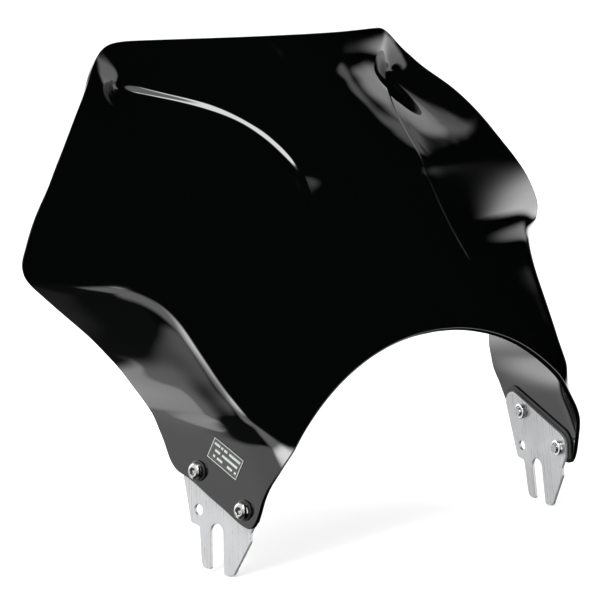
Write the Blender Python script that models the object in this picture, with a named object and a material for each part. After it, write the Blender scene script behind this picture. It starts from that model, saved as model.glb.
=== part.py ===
"""Headlight fly screen for a motorcycle: one thermoformed acrylic shell on two
slotted aluminium bracket plates.

Lengths in the tables are millimetres in the design frame, whose origin is
midway between the two spare holes of the bracket plates: X to the right seen
from the front, Y to the rear of the motorcycle, Z up.  DATUM shifts the whole
part so that the world origin lies on the centre plane, midway between its
foremost and rearmost points, at the level of the bracket tips.  Left and right
in object names are as seen from the front: left is -X.

Places on a bracket plate are given as (y, z), rearward and upward in the
plate's plane, and as a height outward from its mid plane.
"""
import math

import bmesh
import bpy
import numpy as np
from mathutils import Vector
from mathutils.geometry import delaunay_2d_cdt

for old in list(bpy.data.objects):
    bpy.data.objects.remove(old, do_unlink=True)

# ------------------------------------------------------------------ dimensions
MM = 0.001
DATUM = (0.0, -10.08, 36.12)     # design frame to world frame

HALF_SPAN = 130.0                # spare hole to centre plane
PLATE_YAW = math.radians(8.8)    # plates open out towards the rear
PLATE_LEAN = math.radians(3.55)  # and close up towards the top
PLATE_T = 2.0
PAD_T = 1.0
SHELL_T = 3.0
GAP = 0.15                       # gap left between stacked pieces
PAD_LOW = PLATE_T / 2 + GAP
PAD_TOP = PAD_LOW + PAD_T
SKIN_H = PAD_TOP + GAP + SHELL_T  # arm's outer face above the plate's mid plane

HOLE_REAR = (-4.4, 23.0)         # shell screws
HOLE_FRONT = (-39.3, 3.0)
SPARE_HOLE = (0.0, 0.0)
SPARE_R = 3.2
SHELL_HOLE_R = 4.1
PAD_HOLE_R = 3.5
NUT_HOLE_R = 4.15

SIDES = ((-1, "left"), (1, "right"))


# ---------------------------------------------------------------- interpolation
def spline(knots):
    """Natural cubic spline through (position, value, value, ...) rows."""
    rows = np.array(knots, float)
    at, values = rows[:, 0], rows[:, 1:]
    count, spans = len(at), np.diff(at)
    system = np.zeros((count, count))
    load = np.zeros((count, values.shape[1]))
    system[0, 0] = system[-1, -1] = 1.0
    for i in range(1, count - 1):
        before, after = spans[i - 1], spans[i]
        system[i, i - 1:i + 2] = before, 2 * (before + after), after
        load[i] = 6 * ((values[i + 1] - values[i]) / after
                       - (values[i] - values[i - 1]) / before)
    second = np.linalg.solve(system, load)

    def value_at(position):
        position = np.clip(np.asarray(position, float), at[0], at[-1])
        i = np.clip(np.searchsorted(at, position, side="right") - 1, 0, count - 2)
        done, span = (position - at[i])[..., None], spans[i][..., None]
        left = span - done
        return ((second[i] * left**3 + second[i + 1] * done**3) / (6 * span)
                + (values[i] / span - second[i] * span / 6) * left
                + (values[i + 1] / span - second[i + 1] * span / 6) * done)
    return value_at


def smoothstep(z, low, high):
    part = np.clip((z - low) / (high - low), 0.0, 1.0)
    return part * part * (3 - 2 * part)


def ramp(t):
    """max(t, 0) with its corner rounded between -1 and 1."""
    s = np.clip(t, -1.0, 1.0)
    soft = 5 / 32 + s / 2 + 15 * s**2 / 32 - 5 * s**4 / 32 + s**6 / 32
    return np.where(t > 1, t, np.where(t < -1, 0.0, soft))


def thin_plate(points):
    """Smoothest surface y over (x, height) through x, y, height points."""
    points = np.array(points, float)
    sites, values, count = points[:, [0, 2]], points[:, 1], len(points)

    def kernel(a, b):
        square = ((a[:, None] - b[None]) ** 2).sum(-1)
        return np.where(square > 0, square * np.log(np.maximum(square, 1e-12)), 0.0)

    system = np.zeros((count + 3, count + 3))
    system[:count, :count] = kernel(sites, sites)
    system[:count, count] = system[count, :count] = 1.0
    system[:count, count + 1:] = sites
    system[count + 1:, :count] = sites.T
    weights = np.linalg.solve(system, np.concatenate([values, np.zeros(3)]))

    def field(x, z):
        query = np.stack([np.ravel(x), np.ravel(z)], -1)
        out = (kernel(query, sites) @ weights[:count] + weights[count]
               + query @ weights[count + 1:])
        return out.reshape(np.shape(x))
    return field


# ------------------------------------------------------- guide lines of the shell
# Every horizontal section of the outer skin is a line from the centre plane
# over the crown to the valley beside it, along the wing and round the fold
# into the side arm.  Each guide line gives one corner of that section as a
# function of height.

# height: y of the crown on the centre plane
CENTRE = spline([(-45, -152), (0, -122), (42, -95.5), (66, -81.5), (91, -67.8),
                 (115, -55.0), (140, -41.3), (165, -27.5), (189, -14.0),
                 (214, 1.5), (226, 9.5), (240, 20.5), (256, 29.5), (271, 37)])
# height, x, y of the valley, and how softly the section turns there
VALLEY_ROWS = [(-45, 118, -122, 40), (0, 100, -107, 40), (42, 84, -86, 40),
               (66, 76, -72.5, 40), (91, 67, -60, 40), (115, 58, -48, 40),
               (140, 52, -35, 40), (165, 50, -20.9, 40), (178, 50, -14, 36),
               (189, 50.5, -7.8, 30), (198.5, 52.4, 2.0, 28),
               (209, 56.6, 13.0, 30), (225, 66, 30, 34), (245, 80, 52, 40),
               (271, 96, 76, 44)]
VALLEY = spline(VALLEY_ROWS)
# height: x, y of the section's outer end
EDGE = spline([(-45, 139.5, 10), (0, 136.9, 10), (30, 136.3, 18), (50, 136.6, 28),
               (64.6, 141, 35), (73, 145.5, 38), (81.2, 150, 41),
               (91.6, 158, 43.5), (101.3, 166.2, 45.8), (109.5, 174.4, 47.5),
               (117.7, 183, 49), (126, 191.7, 50), (134.5, 200.8, 50.5),
               (140, 204.2, 50.5), (146.2, 205.4, 50.3), (154.4, 203.2, 50),
               (165.2, 198.2, 50.5), (181.3, 187.5, 52.5), (197.4, 175.3, 56),
               (213.7, 162.6, 60.5), (230, 148, 68), (241.5, 136.5, 75),
               (247, 137.5, 76.5), (252, 140, 76.5), (259, 143, 80),
               (271, 147, 88)])
# height: x, y of the fold between front and arm, and its rounding
FOLD = spline([(-45, 121.5, -66, 8), (0, 125.8, -60, 12), (14, 125.5, -57.5, 16),
               (27, 125.4, -54.5, 20), (42, 129.5, -48.5, 24),
               (55, 135, -41.3, 26), (66, 139, -33.5, 28), (77, 142.3, -26.5, 30),
               (88, 144, -20.5, 30), (100, 144.6, -14.3, 28), (110, 145, -9.3, 28),
               (118, 146.3, -4.5, 28), (126, 150, 2.5, 28), (131, 154.5, 8.5, 28),
               (136, 163, 17, 28), (142, 172, 26, 26), (150, 180, 33, 24),
               (165, 180, 39, 24), (271, 180, 80, 24)])
ARM_FLAT = (34.0, 56.0)          # the arm is a true plane below, free above
ARM_SLANT = 1.014                # the plane's offset along X per offset square to it
FOLD_FADE = (128.0, 148.0)       # the fold fades out into the straight wing
FADED_FOLD_SPAN = (0.3, 0.8)     # limits of the faded fold along valley to edge
CROWN_SOFTNESS = 1.5             # rounding of the crown's corners per tangent length
END_RUN = 150.0                  # length of the last line, on past the edge

# Above the shoulders the crown and the wings are two surfaces, each giving y over
# (x, height), that meet in the valley.
UPPER = (186.0, 206.0)           # these surfaces take over in this band
UPPER_FLOOR = 150.0              # lowest height at which they are worked out
# height: slope the crown's flank tends to on either side of its rounded nose
CROWN_SLOPE = spline([(150, .25), (165, .25), (178, .25), (189, .265),
                      (198.5, .385), (209, .52), (217, .635), (224.5, .71),
                      (230, .76), (234.4, .785), (238.3, .795), (242, .79),
                      (248, .75), (256, .68), (262, .64), (268, .617), (271, .61)])
NOSE = 35.0                      # half width of the rounded nose
# height: depth over which the two surfaces melt into each other
FILLET = spline([(180, 0.8), (198, 1.2), (209, 1.6), (217, 2.0), (224.5, 2.6),
                 (230, 3.2), (234.4, 4.0), (238.3, 5.6), (242, 9.0), (248, 15.0),
                 (256, 18.0), (262, 15.0), (271, 10.0)])
# x, y, height: points the wing passes through, along the valley and the edge
WING_POINTS = [(52.4, 2.3, 198.5), (56.6, 14.5, 209), (62, 26.0, 217.2),
               (70, 38.8, 224.5), (79, 51.1, 230), (88.5, 63.0, 234.4),
               (98, 74.8, 238.3), (106, 84.0, 242),
               (175.3, 56, 197.4), (162.6, 60.5, 213.7), (148, 68, 230),
               (135.9, 75.8, 241.5), (129.1, 80.3, 249), (124.1, 83.6, 255),
               (119.2, 86.5, 260.5), (114.4, 88.4, 265), (109.6, 91, 268),
               (112, 82.6, 249), (108, 86.2, 256), (102, 90.0, 262)]
# heights at which the wing is tied to the sections, and its tie points' x
TIE_HEIGHTS = (150.0, 160.0, 170.0, 180.0, 190.0)
TIE_START_X, TIE_STEP_X, TIE_PAST_EDGE = 60.0, 18.0, 6.0
# height: x of the crease between crown and wing, along the valley to begin with
CREASE = spline([row[:2] for row in VALLEY_ROWS if row[0] <= 209]
                + [(217.2, 62), (224.5, 70), (230, 79), (234.4, 88.5),
                   (238.3, 98), (242, 106), (248, 116), (256, 126), (271, 140)])
# Low down, each surface is pushed rearward on the side of the crease where it
# isn't wanted, by an amount per band of distance from the crease.
CREASE_BAND = 8.0
CROWN_PUSH, WING_PUSH = 6.0, 9.0
PUSH_FADE = (214.0, 230.0)
# the wings are pushed rearward near the centre plane, where the crown is alone
CENTRE_BAND, CENTRE_PUSH = 40.0, 24.0
# height: depth and width (in x) of the steep strip just inboard of the crease
STRIP = spline([(-45, 0, 3), (60, 0, 3), (100, 0, 3), (112, .05, 3), (130, 1.0, 3),
                (150, 1.3, 3), (178, 1.35, 3), (189, 1.9, 3.2), (198.5, 2.5, 3.6),
                (209, 2.6, 4.2), (217, 2.6, 4.8), (224.5, 2.6, 5.6), (230, 2.7, 6.5),
                (236, 2.7, 7.2), (240, 2.5, 8), (244, 1.6, 8), (248, .6, 8),
                (252, .1, 8), (256, 0, 8), (271, 0, 8)])
STRIP_EASE = 4                   # the strip's corners round over 1/4 of its width

MAX_GIRTH = 330.0                # girth is the distance along a section's lines
GIRTHS = np.linspace(0.0, MAX_GIRTH, 1321)


# ------------------------------------------------------------------ the surface
def arm_x(y, z):
    """X of the flat outer face of the side arm, parallel to the plate."""
    return (HALF_SPAN + SKIN_H * ARM_SLANT + math.tan(PLATE_YAW) * y
            - math.tan(PLATE_LEAN) * z)


def crown_corners(crown_y, valley_x, valley_y):
    """Two corners standing in for the crown's arc, and their tangent length.

    The arc is tangent at the centre plane and runs on in its tangent to the valley.
    """
    sag = valley_y - crown_y
    radius = (valley_x**2 + sag**2) / (2 * sag)
    rise = valley_y - (crown_y + radius)
    reach = np.sqrt(np.maximum(valley_x**2 + rise**2 - radius**2, 0))
    turn = np.arctan2(valley_x, -rise) - np.arctan2(reach, radius)
    tangent = radius * np.tan(turn / 4)
    first = np.stack([tangent, crown_y], -1)
    second = np.stack([tangent + 2 * tangent * np.cos(turn / 2),
                       crown_y + 2 * tangent * np.sin(turn / 2)], -1)
    return first, second, tangent


def section_corners(z):
    """Corner points of the sections at heights z, and the inner ones' roundings."""
    crown_y = CENTRE(z)[..., 0]
    valley_x, valley_y, valley_soft = np.moveaxis(VALLEY(z), -1, 0)
    fold_x, fold_y, fold_soft = np.moveaxis(FOLD(z), -1, 0)
    edge_x, edge_y = np.moveaxis(EDGE(z), -1, 0)
    free = smoothstep(z, *ARM_FLAT)
    fold_x = fold_x * free + arm_x(fold_y, z) * (1 - free)
    edge_x = edge_x * free + arm_x(edge_y, z) * (1 - free)

    centre = np.stack([np.zeros_like(z), crown_y], -1)
    first, second, tangent = crown_corners(crown_y, valley_x, valley_y)
    valley = np.stack([valley_x, valley_y], -1)
    fold = np.stack([fold_x, fold_y], -1)
    edge = np.stack([edge_x, edge_y], -1)

    # the fold slides onto the straight wing where it fades out
    run = edge - valley
    length = np.linalg.norm(run, axis=-1, keepdims=True)
    run = run / length
    along = np.sum((fold - valley) * run, -1, keepdims=True)
    nearest, farthest = FADED_FOLD_SPAN
    straight = valley + run * np.clip(along, nearest * length, farthest * length)
    faded = smoothstep(z, *FOLD_FADE)[..., None]
    fold = fold * (1 - faded) + straight * faded

    out = edge - fold
    end = fold + out / np.linalg.norm(out, axis=-1, keepdims=True) * END_RUN
    crown_soft = tangent * CROWN_SOFTNESS
    return ([centre, first, second, valley, fold, end],
            [crown_soft, crown_soft, valley_soft, fold_soft])


def section_skin(girth, z):
    """Point of the sectioned surface at a girth from the centre and height z."""
    girth, z = np.broadcast_arrays(np.asarray(girth, float), np.asarray(z, float))
    points, softness = section_corners(z)
    headings, lengths = [], []
    for start, end in zip(points[:-1], points[1:]):
        line = end - start
        length = np.linalg.norm(line, axis=-1)
        headings.append(line / length[..., None])
        lengths.append(length)
    out = points[0] + headings[0] * girth[..., None]
    # each corner bends the line, as does its mirror image on the other half
    mirror, corner = np.array([-1.0, 1.0]), np.zeros_like(girth)
    for k, soft in enumerate(softness):
        corner = corner + lengths[k]
        bend = headings[k + 1] - headings[k]
        out = out + bend * (soft * ramp((girth - corner) / soft))[..., None]
        out = out + bend * mirror * (soft * ramp((-girth - corner) / soft))[..., None]
    return np.concatenate([out, z[..., None]], -1)


def wing_field():
    """The wing: tied to the sectioned surface below, to its own points above."""
    points = list(WING_POINTS)
    for z in TIE_HEIGHTS:
        section = section_skin(GIRTHS, z)
        for x in np.arange(TIE_START_X, float(EDGE(z)[0]) + TIE_PAST_EDGE, TIE_STEP_X):
            points.append((x, float(np.interp(x, section[:, 0], section[:, 1])), z))
    return thin_plate(points)


WING = wing_field()


def upper_y(x, z):
    """Y of the rounded minimum of crown and wing, at distance x from the centre."""
    crease = CREASE(z)[..., 0]
    inboard = ramp((crease - CREASE_BAND - x) / CREASE_BAND)
    outboard = ramp((x - crease - CREASE_BAND) / CREASE_BAND)
    low = 1 - smoothstep(z, *PUSH_FADE)
    crown = (CENTRE(z)[..., 0]
             + CROWN_SLOPE(z)[..., 0] * (np.sqrt(x * x + NOSE**2) - NOSE)
             + CROWN_PUSH * low * outboard)
    wing = (WING(x, z) + WING_PUSH * low * inboard
            + CENTRE_PUSH * ramp((CENTRE_BAND - x) / CENTRE_BAND))
    fillet = FILLET(z)[..., 0]
    return wing - fillet * ramp((wing - crown) / fillet)


def skin(girth, z):
    """Outer skin at a girth from the centre plane and height z (mm)."""
    x, y, z = np.moveaxis(section_skin(girth, z), -1, 0)
    upper = smoothstep(z, *UPPER)
    y = y * (1 - upper) + upper_y(np.abs(x), np.maximum(z, UPPER_FLOOR)) * upper
    # inboard of the strip, the crown stands forward by the strip's depth
    depth, width = np.moveaxis(STRIP(z), -1, 0)
    across = (CREASE(z)[..., 0] - np.abs(x)) / width
    step = (ramp(STRIP_EASE * across) - ramp(STRIP_EASE * (across - 1))) / STRIP_EASE
    y = y - np.maximum(depth, 0.0) * step
    return np.stack([x, y, z], -1)


def skin_normal(girth, z, reach=0.05):
    """Unit normal of the outer skin, pointing away from the rider."""
    along = skin(girth + reach, z) - skin(girth - reach, z)
    upward = skin(girth, z + reach) - skin(girth, z - reach)
    normal = np.cross(along, upward)
    return normal / np.linalg.norm(normal, axis=-1, keepdims=True)


def girth_at(mark, z):
    """Girth of the point where x + y equals mark on the section at height z."""
    section = skin(GIRTHS, z)
    marks = np.maximum.accumulate(section[:, 0] + section[:, 1])
    return float(np.interp(mark, marks, GIRTHS))


# ------------------------------------------------------------------ plate frame
def side_frame(side):
    """Origin and axes (rearward, upward, outward) of one bracket plate, mm."""
    up = Vector((-math.sin(PLATE_LEAN), 0, math.cos(PLATE_LEAN)))
    rear = Vector((math.sin(PLATE_YAW), math.cos(PLATE_YAW), 0))
    rear = (rear - up * rear.dot(up)).normalized()
    outward = rear.cross(up)
    origin = Vector((HALF_SPAN, 0, 0))
    return [Vector((side * v.x, v.y, v.z)) for v in (origin, rear, up, outward)]


def on_plate(side, y, z, height):
    origin, rear, up, outward = side_frame(side)
    return origin + rear * y + up * z + outward * height


def to_world(point):
    return Vector([value + shift for value, shift in zip(point, DATUM)]) * MM


# --------------------------------------------------------------------- materials
def material(name, colour, roughness, metallic=0.0):
    mat = bpy.data.materials.new(name)
    mat.use_nodes = True
    shader = mat.node_tree.nodes["Principled BSDF"]
    shader.inputs["Base Color"].default_value = (*colour, 1)
    shader.inputs["Roughness"].default_value = roughness
    shader.inputs["Metallic"].default_value = metallic
    mat.diffuse_color = (*colour, 1)
    return mat


ACRYLIC = material("black_acrylic", colour=(0.006, 0.007, 0.007), roughness=0.04)
ALUMINIUM = material("brushed_aluminium", colour=(0.75, 0.76, 0.78), roughness=0.32,
                     metallic=1.0)
RUBBER = material("black_rubber", colour=(0.012, 0.012, 0.012), roughness=0.75)
NYLON = material("black_nylon", colour=(0.015, 0.015, 0.016), roughness=0.45)
STAINLESS = material("polished_stainless", colour=(0.70, 0.69, 0.67), roughness=0.15,
                     metallic=1.0)
ZINC = material("zinc_plated_steel", colour=(0.55, 0.56, 0.58), roughness=0.30,
                metallic=1.0)
LABEL_FILM = material("label_film", colour=(0.03, 0.032, 0.032), roughness=0.5)


# ----------------------------------------------------------------------- objects
def link_object(name, mesh, mat, origin=(0.0, 0.0, 0.0)):
    mesh.materials.append(mat)
    obj = bpy.data.objects.new(name, mesh)
    obj.location = origin
    bpy.context.scene.collection.objects.link(obj)
    return obj


def object_from_bmesh(name, bm, mat, origin=(0.0, 0.0, 0.0)):
    bmesh.ops.recalc_face_normals(bm, faces=bm.faces)
    mesh = bpy.data.meshes.new(name)
    bm.to_mesh(mesh)
    bm.free()
    return link_object(name, mesh, mat, origin)


def solid(name, points, faces, mat, origin=(0.0, 0.0, 0.0)):
    """Object from world points; its origin is moved to the given world point."""
    bm = bmesh.new()
    verts = [bm.verts.new(point - Vector(origin)) for point in points]
    for face in faces:
        bm.faces.new([verts[i] for i in face])
    return object_from_bmesh(name, bm, mat, origin)


# ------------------------------------------------------- flat regions with holes
ARC_STEPS = 5                    # segments in each rounded corner


def inside(points, loops):
    """Even-odd test of 2D points against closed loops."""
    points = np.asarray(points, float)
    hit = np.zeros(len(points), bool)
    for loop in loops:
        starts = np.asarray(loop, float)
        for (x0, y0), (x1, y1) in zip(starts, np.roll(starts, -1, axis=0)):
            if y0 == y1:
                continue
            hit ^= ((y0 > points[:, 1]) != (y1 > points[:, 1])) & (
                points[:, 0] < (x1 - x0) * (points[:, 1] - y0) / (y1 - y0) + x0)
    return hit


def triangulate(loops, extra=()):
    """Triangles inside the first loop and outside the others."""
    points, edges = [], []
    for loop in loops:
        base, count = len(points), len(loop)
        points += [tuple(p) for p in loop]
        edges += [(base + i, base + (i + 1) % count) for i in range(count)]
    points += [tuple(p) for p in extra]
    verts, _, faces, *_ = delaunay_2d_cdt([Vector(p) for p in points], edges, [], 0, 1e-7)
    verts = np.array([tuple(v) for v in verts])
    faces = np.array([tuple(f) for f in faces])
    faces = faces[inside(verts[faces].mean(axis=1), loops)]
    a, b, c = (verts[faces[:, k]] for k in range(3))
    area = ((b[:, 0] - a[:, 0]) * (c[:, 1] - a[:, 1])
            - (b[:, 1] - a[:, 1]) * (c[:, 0] - a[:, 0]))
    faces[area < 0] = faces[area < 0][:, ::-1]
    return verts, faces[np.abs(area) > 1e-6]


def circle(centre, radius, count):
    angles = [2 * math.pi * i / count for i in range(count)]
    return [(centre[0] + radius * math.cos(t), centre[1] + radius * math.sin(t))
            for t in angles]


def rounded_chain(before, corners, after):
    """Arcs for (y, z, radius) corners, between the points before and after them."""
    out = []
    places = [before] + [corner[:2] for corner in corners] + [after]
    for i, (y, z, radius) in enumerate(corners):
        corner = Vector((y, z))
        back = (Vector(places[i]) - corner).normalized()
        ahead = (Vector(places[i + 2]) - corner).normalized()
        half = back.angle(ahead) / 2
        centre = corner + (back + ahead).normalized() * (radius / math.sin(half))
        start = corner + back * (radius / math.tan(half)) - centre
        end = corner + ahead * (radius / math.tan(half)) - centre
        first = math.atan2(start.y, start.x)
        sweep = (math.atan2(end.y, end.x) - first + math.pi) % (2 * math.pi) - math.pi
        for k in range(ARC_STEPS + 1):
            t = first + sweep * k / ARC_STEPS
            out.append((centre.x + radius * math.cos(t), centre.y + radius * math.sin(t)))
    return out


def slab(name, side, loops, low, high, mat):
    """Flat solid between two heights over the plate's mid plane."""
    points, triangles = triangulate(loops)
    bm = bmesh.new()
    base = [bm.verts.new(to_world(on_plate(side, y, z, low))) for y, z in points]
    faces = [bm.faces.new([base[i] for i in triangle]) for triangle in triangles]
    lift = bmesh.ops.extrude_face_region(bm, geom=faces)
    rise = to_world(on_plate(side, 0, 0, high)) - to_world(on_plate(side, 0, 0, low))
    bmesh.ops.translate(bm, vec=rise,
                        verts=[e for e in lift["geom"] if isinstance(e, bmesh.types.BMVert)])
    return object_from_bmesh(name, bm, mat)


# --------------------------------------------------------------- windscreen shell
# headlight cut-out: an arch of this radius over (x + y - ARCH_Y, height)
ARCH_R, ARCH_TOP, ARCH_Y = 142.0, 91.0, -67.0
ARCH_HEIGHTS = (90.2, 88, 84.5, 79.5, 73, 65, 56.5, 49)
# Cut outline from the arch round the arm and the wing to the top edge, as
# (x + y, height): along any section x + y only grows, so it marks one point.
OUTLINE = [(40.5, 42), (46.5, 35.3), (53, 29.3), (59.5, 23.2), (65.5, 17.8),
           (70.2, 12.5), (73.8, 7), (77.8, -0.6), (81.1, -4.9), (86.4, -7.5),
           (93.5, -5.4), (105, 1), (120, 9), (133, 16.4), (141.1, 20),
           (147.2, 22.4), (151.4, 26), (154.6, 31), (158.4, 39.3),
           (164.7, 50.5), (176, 64.6), (183.5, 73), (191, 81.2), (201.5, 91.6),
           (212, 101.3), (221.9, 109.5), (232, 117.7), (241.7, 126),
           (251.0, 134.5), (254.7, 140), (255.7, 146.2), (253.2, 154.4),
           (248.7, 165.2), (240, 181.3), (231.3, 197.4), (223.1, 213.7),
           (216, 230), (211.5, 241.5), (209.2, 249), (207.3, 255),
           (204.6, 260.5), (200.6, 265), (195, 268), (186, 269.4),
           (172, 269.6), (150, 269.2), (120, 268.6), (80, 267.9)]
TOP_CENTRE_Z = 267.5

SHELL_STEP = 8.5                 # target edge length of the shell's facets
RIM_STEP = SHELL_STEP * 0.85
ROW_STEP = SHELL_STEP * 0.80
GRID_Z = (-20.0, 272.0)
RIM_SAMPLES = 4000
SHELL_HOLE_SIDES = 16
# least distance of interior points, in steps, from the rim, holes and strip
RIM_CLEAR, HOLE_CLEAR, STRIP_CLEAR = 0.62, 0.55, 0.5
# heights of the points along both borders of the steep strip, closer near the top
STRIP_HEIGHTS = np.concatenate([np.arange(116.0, 216.0, 4.0),
                                np.arange(216.0, 248.0, 4.0 * 0.45)])
STRIP_MAX_GIRTH = 200.0


def outline_points():
    """The cut outline in (girth, height), walked at even steps in space."""
    arch = [(math.sqrt(ARCH_R**2 - (z - ARCH_TOP + ARCH_R)**2) + ARCH_Y, z)
            for z in ARCH_HEIGHTS]
    knots = np.array([(0.0, ARCH_TOP)]
                     + [(girth_at(mark, z), z) for mark, z in arch + OUTLINE]
                     + [(0.0, TOP_CENTRE_Z)])
    lengths = np.linalg.norm(np.diff(knots, axis=0), axis=1)
    chord = np.concatenate([[0], np.cumsum(lengths)])
    path = spline(np.column_stack([chord, knots]))
    places = np.linspace(0, chord[-1], RIM_SAMPLES)
    samples = path(places)
    in_space = skin(samples[:, 0], samples[:, 1])
    lengths = np.linalg.norm(np.diff(in_space, axis=0), axis=1)
    run = np.concatenate([[0], np.cumsum(lengths)])
    count = int(round(run[-1] / RIM_STEP))
    points = path(np.interp(np.linspace(0, run[-1], count + 1), run, places))
    points[0], points[-1] = (0.0, ARCH_TOP), (0.0, TOP_CENTRE_Z)
    return points


def arm_hole(hole):
    """A round hole square to the arm's flat face, in (girth, height)."""
    out = []
    for y, z in circle(hole, SHELL_HOLE_R, SHELL_HOLE_SIDES):
        point = on_plate(1, y, z, SKIN_H)
        out.append((girth_at(point.x + point.y, point.z), point.z))
    return out


def strip_points():
    """(girth, height) points along both borders of the steep strip."""
    points = []
    girths = GIRTHS[GIRTHS <= STRIP_MAX_GIRTH]
    for z in STRIP_HEIGHTS:
        section_x = section_skin(girths, z)[:, 0]
        crease, width = CREASE(z)[0], STRIP(z)[1]
        points += [(float(np.interp(x, section_x, girths)), float(z))
                   for x in (crease, crease - width)]
    return np.array(points)


def distances(points, others):
    """Distance of each point to the nearest of the others."""
    others = np.array(others)
    return np.linalg.norm(points[:, None] - others[None], axis=-1).min(axis=1)


def interior_points(loop, holes):
    """Staggered rows clear of every rim, and the strip's own points."""
    grid = []
    for row, z in enumerate(np.arange(*GRID_Z, ROW_STEP)):
        first = SHELL_STEP * (0.5 if row % 2 else 1.0)
        grid += [(girth, z) for girth in np.arange(first, MAX_GIRTH, SHELL_STEP)]
    grid = np.array(grid)
    grid = grid[inside(grid, [loop] + holes)]
    strip = strip_points()
    clearances = ([(loop, RIM_CLEAR)] + [(hole, HOLE_CLEAR) for hole in holes]
                  + [(strip, STRIP_CLEAR)])
    for others, clear in clearances:
        grid = grid[distances(grid, others) > SHELL_STEP * clear]
    return np.vstack([grid, strip])


def shell():
    """Outer skin of the +X half, mirrored and thickened inward."""
    name = "windscreen_shell"
    count = int(round((TOP_CENTRE_Z - ARCH_TOP) / SHELL_STEP))
    centre = [(0.0, z) for z in np.linspace(TOP_CENTRE_Z, ARCH_TOP, count + 1)[1:-1]]
    loop = [tuple(p) for p in outline_points()] + centre
    holes = [arm_hole(hole) for hole in (HOLE_REAR, HOLE_FRONT)]
    flat, faces = triangulate([loop] + holes, interior_points(loop, holes))
    points = skin(flat[:, 0], flat[:, 1])
    points[np.abs(flat[:, 0]) < 1e-6, 0] = 0.0
    mesh = bpy.data.meshes.new(name)
    mesh.from_pydata([tuple(to_world(p)) for p in points], [], faces.tolist())
    mesh.shade_smooth()
    obj = link_object(name, mesh, ACRYLIC)
    mirror = obj.modifiers.new("other_half", "MIRROR")
    mirror.use_axis = (True, False, False)
    mirror.use_mirror_merge = True
    mirror.merge_threshold = 0.0001
    sheet = obj.modifiers.new("sheet", "SOLIDIFY")
    sheet.thickness = SHELL_T * MM
    sheet.offset = -1.0
    sheet.use_even_offset = True
    sheet.use_quality_normals = True


shell()

# --------------------------------------------------------- bracket plates and pads
SLOT_Y, SLOT_TOP, SLOT_R = -14.0, -12.0, 5.05    # SLOT_TOP: centre of its round end
SLOT_STEPS = 12
PLATE_HOLE_SIDES, PAD_HOLE_SIDES = 24, 20
# y, z, radius, from the rear top forward and down to the slot's front lip
FRONT_CORNERS = [
    (13.0, 39.3, 8.0),                       # lobe round the rear screw
    (-46.6, 9.3, 7.0),                       # lobe round the front screw
    (-44.9, -3.0, 5.0), (-40.2, -10.0, 3.0), (-39.9, -15.5, 3.0),
    (-26.3, -35.9, 3.4),                     # front tine
    (SLOT_Y - SLOT_R, -35.9, 1.2)]
# and from the slot's rear lip round the rear tine
REAR_CORNERS = [(SLOT_Y + SLOT_R, -33.4, 1.2), (-1.9, -33.4, 4.0),
                (-0.6, -9.4, 1.5), (6.2, -7.6, 2.5)]
# point straight below the first corner, so that its arc starts off vertical
BELOW_FIRST = (FRONT_CORNERS[0][0], 0.0)
# the pad shows as a narrow rim above and in front of the plate and ends just
# inside the lower edge of the shell's arm
PAD_CORNERS = [(15.4, 42.9, 8.0), (-49.5, 11.3, 9.5), (-47.4, -4.6, 3.0),
               (-38.5, -5.0, 1.5), (9.4, 22.5, 2.0), (14.2, 27.2, 1.5)]


def plate_loop():
    slot = []
    for k in range(SLOT_STEPS + 1):
        t = math.pi * k / SLOT_STEPS
        slot.append((SLOT_Y - SLOT_R * math.cos(t), SLOT_TOP + SLOT_R * math.sin(t)))
    return (rounded_chain(BELOW_FIRST, FRONT_CORNERS, slot[0]) + slot
            + rounded_chain(slot[-1], REAR_CORNERS, FRONT_CORNERS[0][:2]))


def bracket_plate(side, tag):
    holes = [circle(HOLE_REAR, NUT_HOLE_R, PLATE_HOLE_SIDES),
             circle(HOLE_FRONT, NUT_HOLE_R, PLATE_HOLE_SIDES),
             circle(SPARE_HOLE, SPARE_R, PLATE_HOLE_SIDES)]
    slab("bracket_plate_" + tag, side, [plate_loop()] + holes,
         -PLATE_T / 2, PLATE_T / 2, ALUMINIUM)


def rubber_pad(side, tag):
    outline = rounded_chain(PAD_CORNERS[-1][:2], PAD_CORNERS, PAD_CORNERS[0][:2])
    holes = [circle(hole, PAD_HOLE_R, PAD_HOLE_SIDES) for hole in (HOLE_REAR, HOLE_FRONT)]
    slab("rubber_pad_" + tag, side, [outline] + holes, PAD_LOW, PAD_TOP, RUBBER)


for side, tag in SIDES:
    bracket_plate(side, tag)
    rubber_pad(side, tag)

# ---------------------------------------------------------------------- hardware
TURNED_SIDES = 24
SHARP_ANGLE = math.radians(40)

WASHER_R, WASHER_CHAMFER = 6.0, 0.2
WASHER_LOW = SKIN_H + GAP
WASHER_TOP = WASHER_LOW + 1.1
WASHER_BORE_R = 3.15
SHOULDER_R, SHOULDER_LOW = 3.85, 2.6

SCREW_R, SCREW_TIP, TIP_CHAMFER = 2.9, -4.9, 0.6
HEAD_LOW = WASHER_TOP + GAP
HEAD_H, HEAD_R = 3.3, 5.3
# part of the head's radius, height above its underside
HEAD_DOME = [(0.93, 1.5), (0.79, 2.4), (0.60, 3.05), (0.50, HEAD_H)]
SOCKET_HALF = 2.0                # half the hexagon's width across flats
SOCKET_TOP = HEAD_LOW + HEAD_H

NUT_BARREL_R, NUT_FLANGE_R = 4.0, 4.75
NUT_BORE_R, NUT_MOUTH_R = 3.0, 3.2
NUT_TOP = 0.85
NUT_FACE = -PLATE_T / 2 - GAP    # flange face towards the plate
NUT_LOW = NUT_FACE - 2.7

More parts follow.
